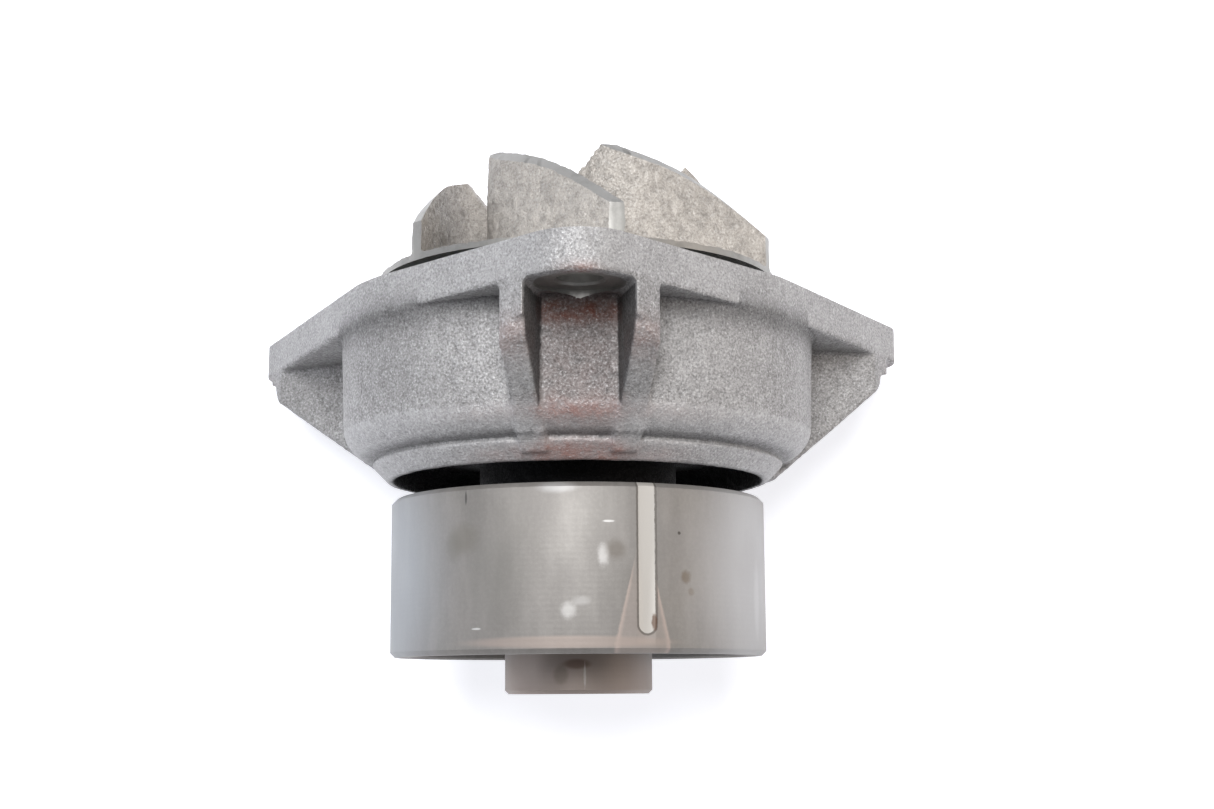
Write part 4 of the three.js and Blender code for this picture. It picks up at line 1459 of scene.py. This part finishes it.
class PUMP_OT_face_seal(bpy.types.Operator):
    """Makes the face seal's cup, bellows, spring, face ring, seat and rubber"""

    bl_idname = "pump.face_seal"
    bl_label = "Face seal"

    def execute(self, context):
        s = context.scene.pump_seal
        rubber = nitrile()
        self.cup(s)
        self.bellows(s, rubber)
        self.spring(s)
        for node, body, slot, material in (
            ("seal_face_ring", "housing", "carbon", carbon()),
            ("seal_seat", "rotor", "ceramic", ceramic()),
        ):
            self.plain_ring(node, body, slot, material)
        node = "seal_seat_rubber"
        y0, y1, outer = LOW[node].y, HIGH[node].y, HIGH[node].x
        inner = self.face_bore()
        wall = s.seat_rubber
        edge = 0.4 * MM
        profile = [
            (inner, y1 - edge),
            (inner + edge, y1),
            (outer - edge, y1),
            (outer, y1 - edge),
            (outer, y0 + edge),
            (outer - edge, y0),
            (outer - wall + edge, y0),
            (outer - wall, y0 + edge),
            (outer - wall, y1 - wall),
            (inner, y1 - wall),
        ]
        ringed(node, "rotor", "black_rubber", rubber, profile)
        return {"FINISHED"}

    def face_bore(self):
        co = np.array([v.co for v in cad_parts["seal_face_ring"].data.vertices])
        return float(np.hypot(co[:, 0], co[:, 2]).min())

    def cup(self, s):
        y0, y1, flange_r = LOW["seal_cup"].y, HIGH["seal_cup"].y, HIGH["seal_cup"].x
        t = s.cup_wall
        outer = s.cup_radius
        hole = s.cup_hole
        bend = 2 * t
        profile = [
            (hole, y0),
            *arc(outer - bend, y0 + bend, bend, -90, 0, 6),
            (outer, y1 - t),
            (flange_r, y1 - t),
            (flange_r, y1),
            *arc(outer - t + 1.2 * MM, y1 - 1.2 * MM, 1.2 * MM, 90, 180, 5),
            *arc(outer - bend, y0 + bend, bend - t, 0, -90, 6),
            (hole, y0 + t),
        ]
        ringed("seal_cup", "housing", "brass_sheet", brass(), profile)

    def bellows(self, s, rubber):
        y0, y1 = LOW["seal_bellows"].y, HIGH["seal_bellows"].y
        inner = self.face_bore()
        steps = 32
        inside = []
        for i in range(steps + 1):
            out = s.fold * (1 - math.cos(4 * math.pi * i / steps)) / 2
            inside.append((inner + out, y0 + (y1 - y0) * i / steps))
        outside = [(r + s.bellows, y) for r, y in inside[::-1]]
        ringed("seal_bellows", "housing", "black_rubber", rubber, inside + outside)

    def spring(self, s):
        """Wire section carried round the shaft by the Screw modifier, with its two ends closed."""
        node = "seal_spring"
        low, high = LOW[node], HIGH[node]
        radius = high.z - s.wire
        rise = (high.y - low.y - 2 * s.wire) / s.turns
        section = [(0, low.y + s.wire + u, radius + v) for u, v in arc(0, 0, s.wire, 0, 345, 15)]
        obj = drawn(node, section)
        bpy.ops.mesh.delete(type="ONLY_FACE")
        bpy.ops.object.mode_set(mode="OBJECT")
        finish_modifier(
            obj,
            "SCREW",
            axis="Y",
            screw_offset=rise,
            iterations=s.turns,
            steps=64,
            render_steps=64,
            use_merge_vertices=False,
        )
        bpy.ops.object.mode_set(mode="EDIT")
        bpy.ops.mesh.select_all(action="SELECT")
        bpy.ops.mesh.fill_holes(sides=0)
        bpy.ops.mesh.normals_make_consistent(inside=False)
        bpy.ops.object.mode_set(mode="OBJECT")
        soften(obj, 40)
        put(obj, node, "housing", "spring_steel", spring_wire())

    def plain_ring(self, node, body, slot, material):
        ringed(node, body, slot, material, ring_section(node, self.face_bore(), HIGH[node].x))


# ------------------------------------------------------------------ studio


class PUMP_OT_studio(bpy.types.Operator):
    """Sets up the camera, the pale floor and the soft lights"""

    bl_idname = "pump.studio"
    bl_label = "Studio"

    def execute(self, context):
        s = context.scene.pump_studio
        context.scene.view_settings.view_transform = "Standard"
        clear_selection()
        bpy.ops.object.camera_add(location=s.camera_place, rotation=s.camera_turn)
        camera = context.object
        camera.name = "camera"
        camera.data.lens = s.lens
        camera.data.sensor_width = 36
        camera.data.clip_start = 10 * MM
        camera.data.clip_end = 20
        context.scene.camera = camera
        self.floor(context, s)
        self.lights(context, s)
        return {"FINISHED"}

    def floor(self, context, s):
        clear_selection()
        bpy.ops.mesh.primitive_circle_add(
            vertices=96, radius=3, fill_type="NGON", location=(0, 0.05, CAD_BOX[0][2])
        )
        floor = named("floor")
        floor.data.materials.append(paper(s.floor))

    def lights(self, context, s):
        world = bpy.data.worlds.new("studio")
        world.use_nodes = True
        sky = world.node_tree.nodes["Background"]
        sky.inputs["Color"].default_value = linear("#f8f8fb")
        sky.inputs["Strength"].default_value = s.sky
        context.scene.world = world
        centre = Vector((0, 0.065, 0))
        for name, place, size, power, code in (
            ("key softbox", (-0.02, 0.3, 0.86), 0.5, s.key, "#ffffff"),
            ("left softbox", (-0.8, 0.0, 0.35), 0.5, s.fill, "#ecf1fb"),
            ("right softbox", (0.8, 0.1, 0.35), 0.5, 1.1 * s.fill, "#fff1e4"),
        ):
            clear_selection()
            way = centre - Vector(place)
            turn = way.to_track_quat("-Z", "Y").to_euler()
            bpy.ops.object.light_add(type="AREA", location=place, rotation=turn)
            light = context.object
            light.name = name
            light.data.shape = "DISK"
            light.data.size = size
            light.data.energy = power
            light.data.color = linear(code)[:3]


# ------------------------------------------------------------------ panel and run


class PUMP_PT_sidebar(bpy.types.Panel):
    """Lists the pump's steps and sizes"""

    bl_label = "Coolant Pump"
    bl_idname = "PUMP_PT_sidebar"
    bl_space_type = "VIEW_3D"
    bl_region_type = "UI"
    bl_category = "Pump"

    def draw(self, context):
        for step in STEPS:
            self.layout.operator(step.bl_idname)
        for name in SETTINGS:
            group = getattr(context.scene, name)
            box = self.layout.box()
            for key in group.__annotations__:
                box.prop(group, key)


STEPS = (
    PUMP_OT_studio,
    PUMP_OT_housing,
    PUMP_OT_pulley,
    PUMP_OT_impeller,
    PUMP_OT_shaft,
    PUMP_OT_bearing,
    PUMP_OT_face_seal,
)
SETTINGS = {
    "pump_housing": HousingSettings,
    "pump_pulley": PulleySettings,
    "pump_impeller": ImpellerSettings,
    "pump_bearing": BearingSettings,
    "pump_seal": SealSettings,
    "pump_finish": FinishSettings,
    "pump_studio": StudioSettings,
}


def register():
    for name, group in SETTINGS.items():
        bpy.utils.register_class(group)
        setattr(bpy.types.Scene, name, bpy.props.PointerProperty(type=group))
    for cls in (*STEPS, PUMP_PT_sidebar):
        bpy.utils.register_class(cls)


def unregister():
    for cls in (PUMP_PT_sidebar, *reversed(STEPS)):
        bpy.utils.unregister_class(cls)
    for name, group in reversed(SETTINGS.items()):
        delattr(bpy.types.Scene, name)
        bpy.utils.unregister_class(group)


def main():
    register()
    bpy.ops.pump.studio()
    bpy.ops.pump.housing()
    bpy.ops.pump.pulley()
    bpy.ops.pump.impeller()
    bpy.ops.pump.shaft()
    bpy.ops.pump.bearing()
    bpy.ops.pump.face_seal()


if __name__ == "__main__":
    main()
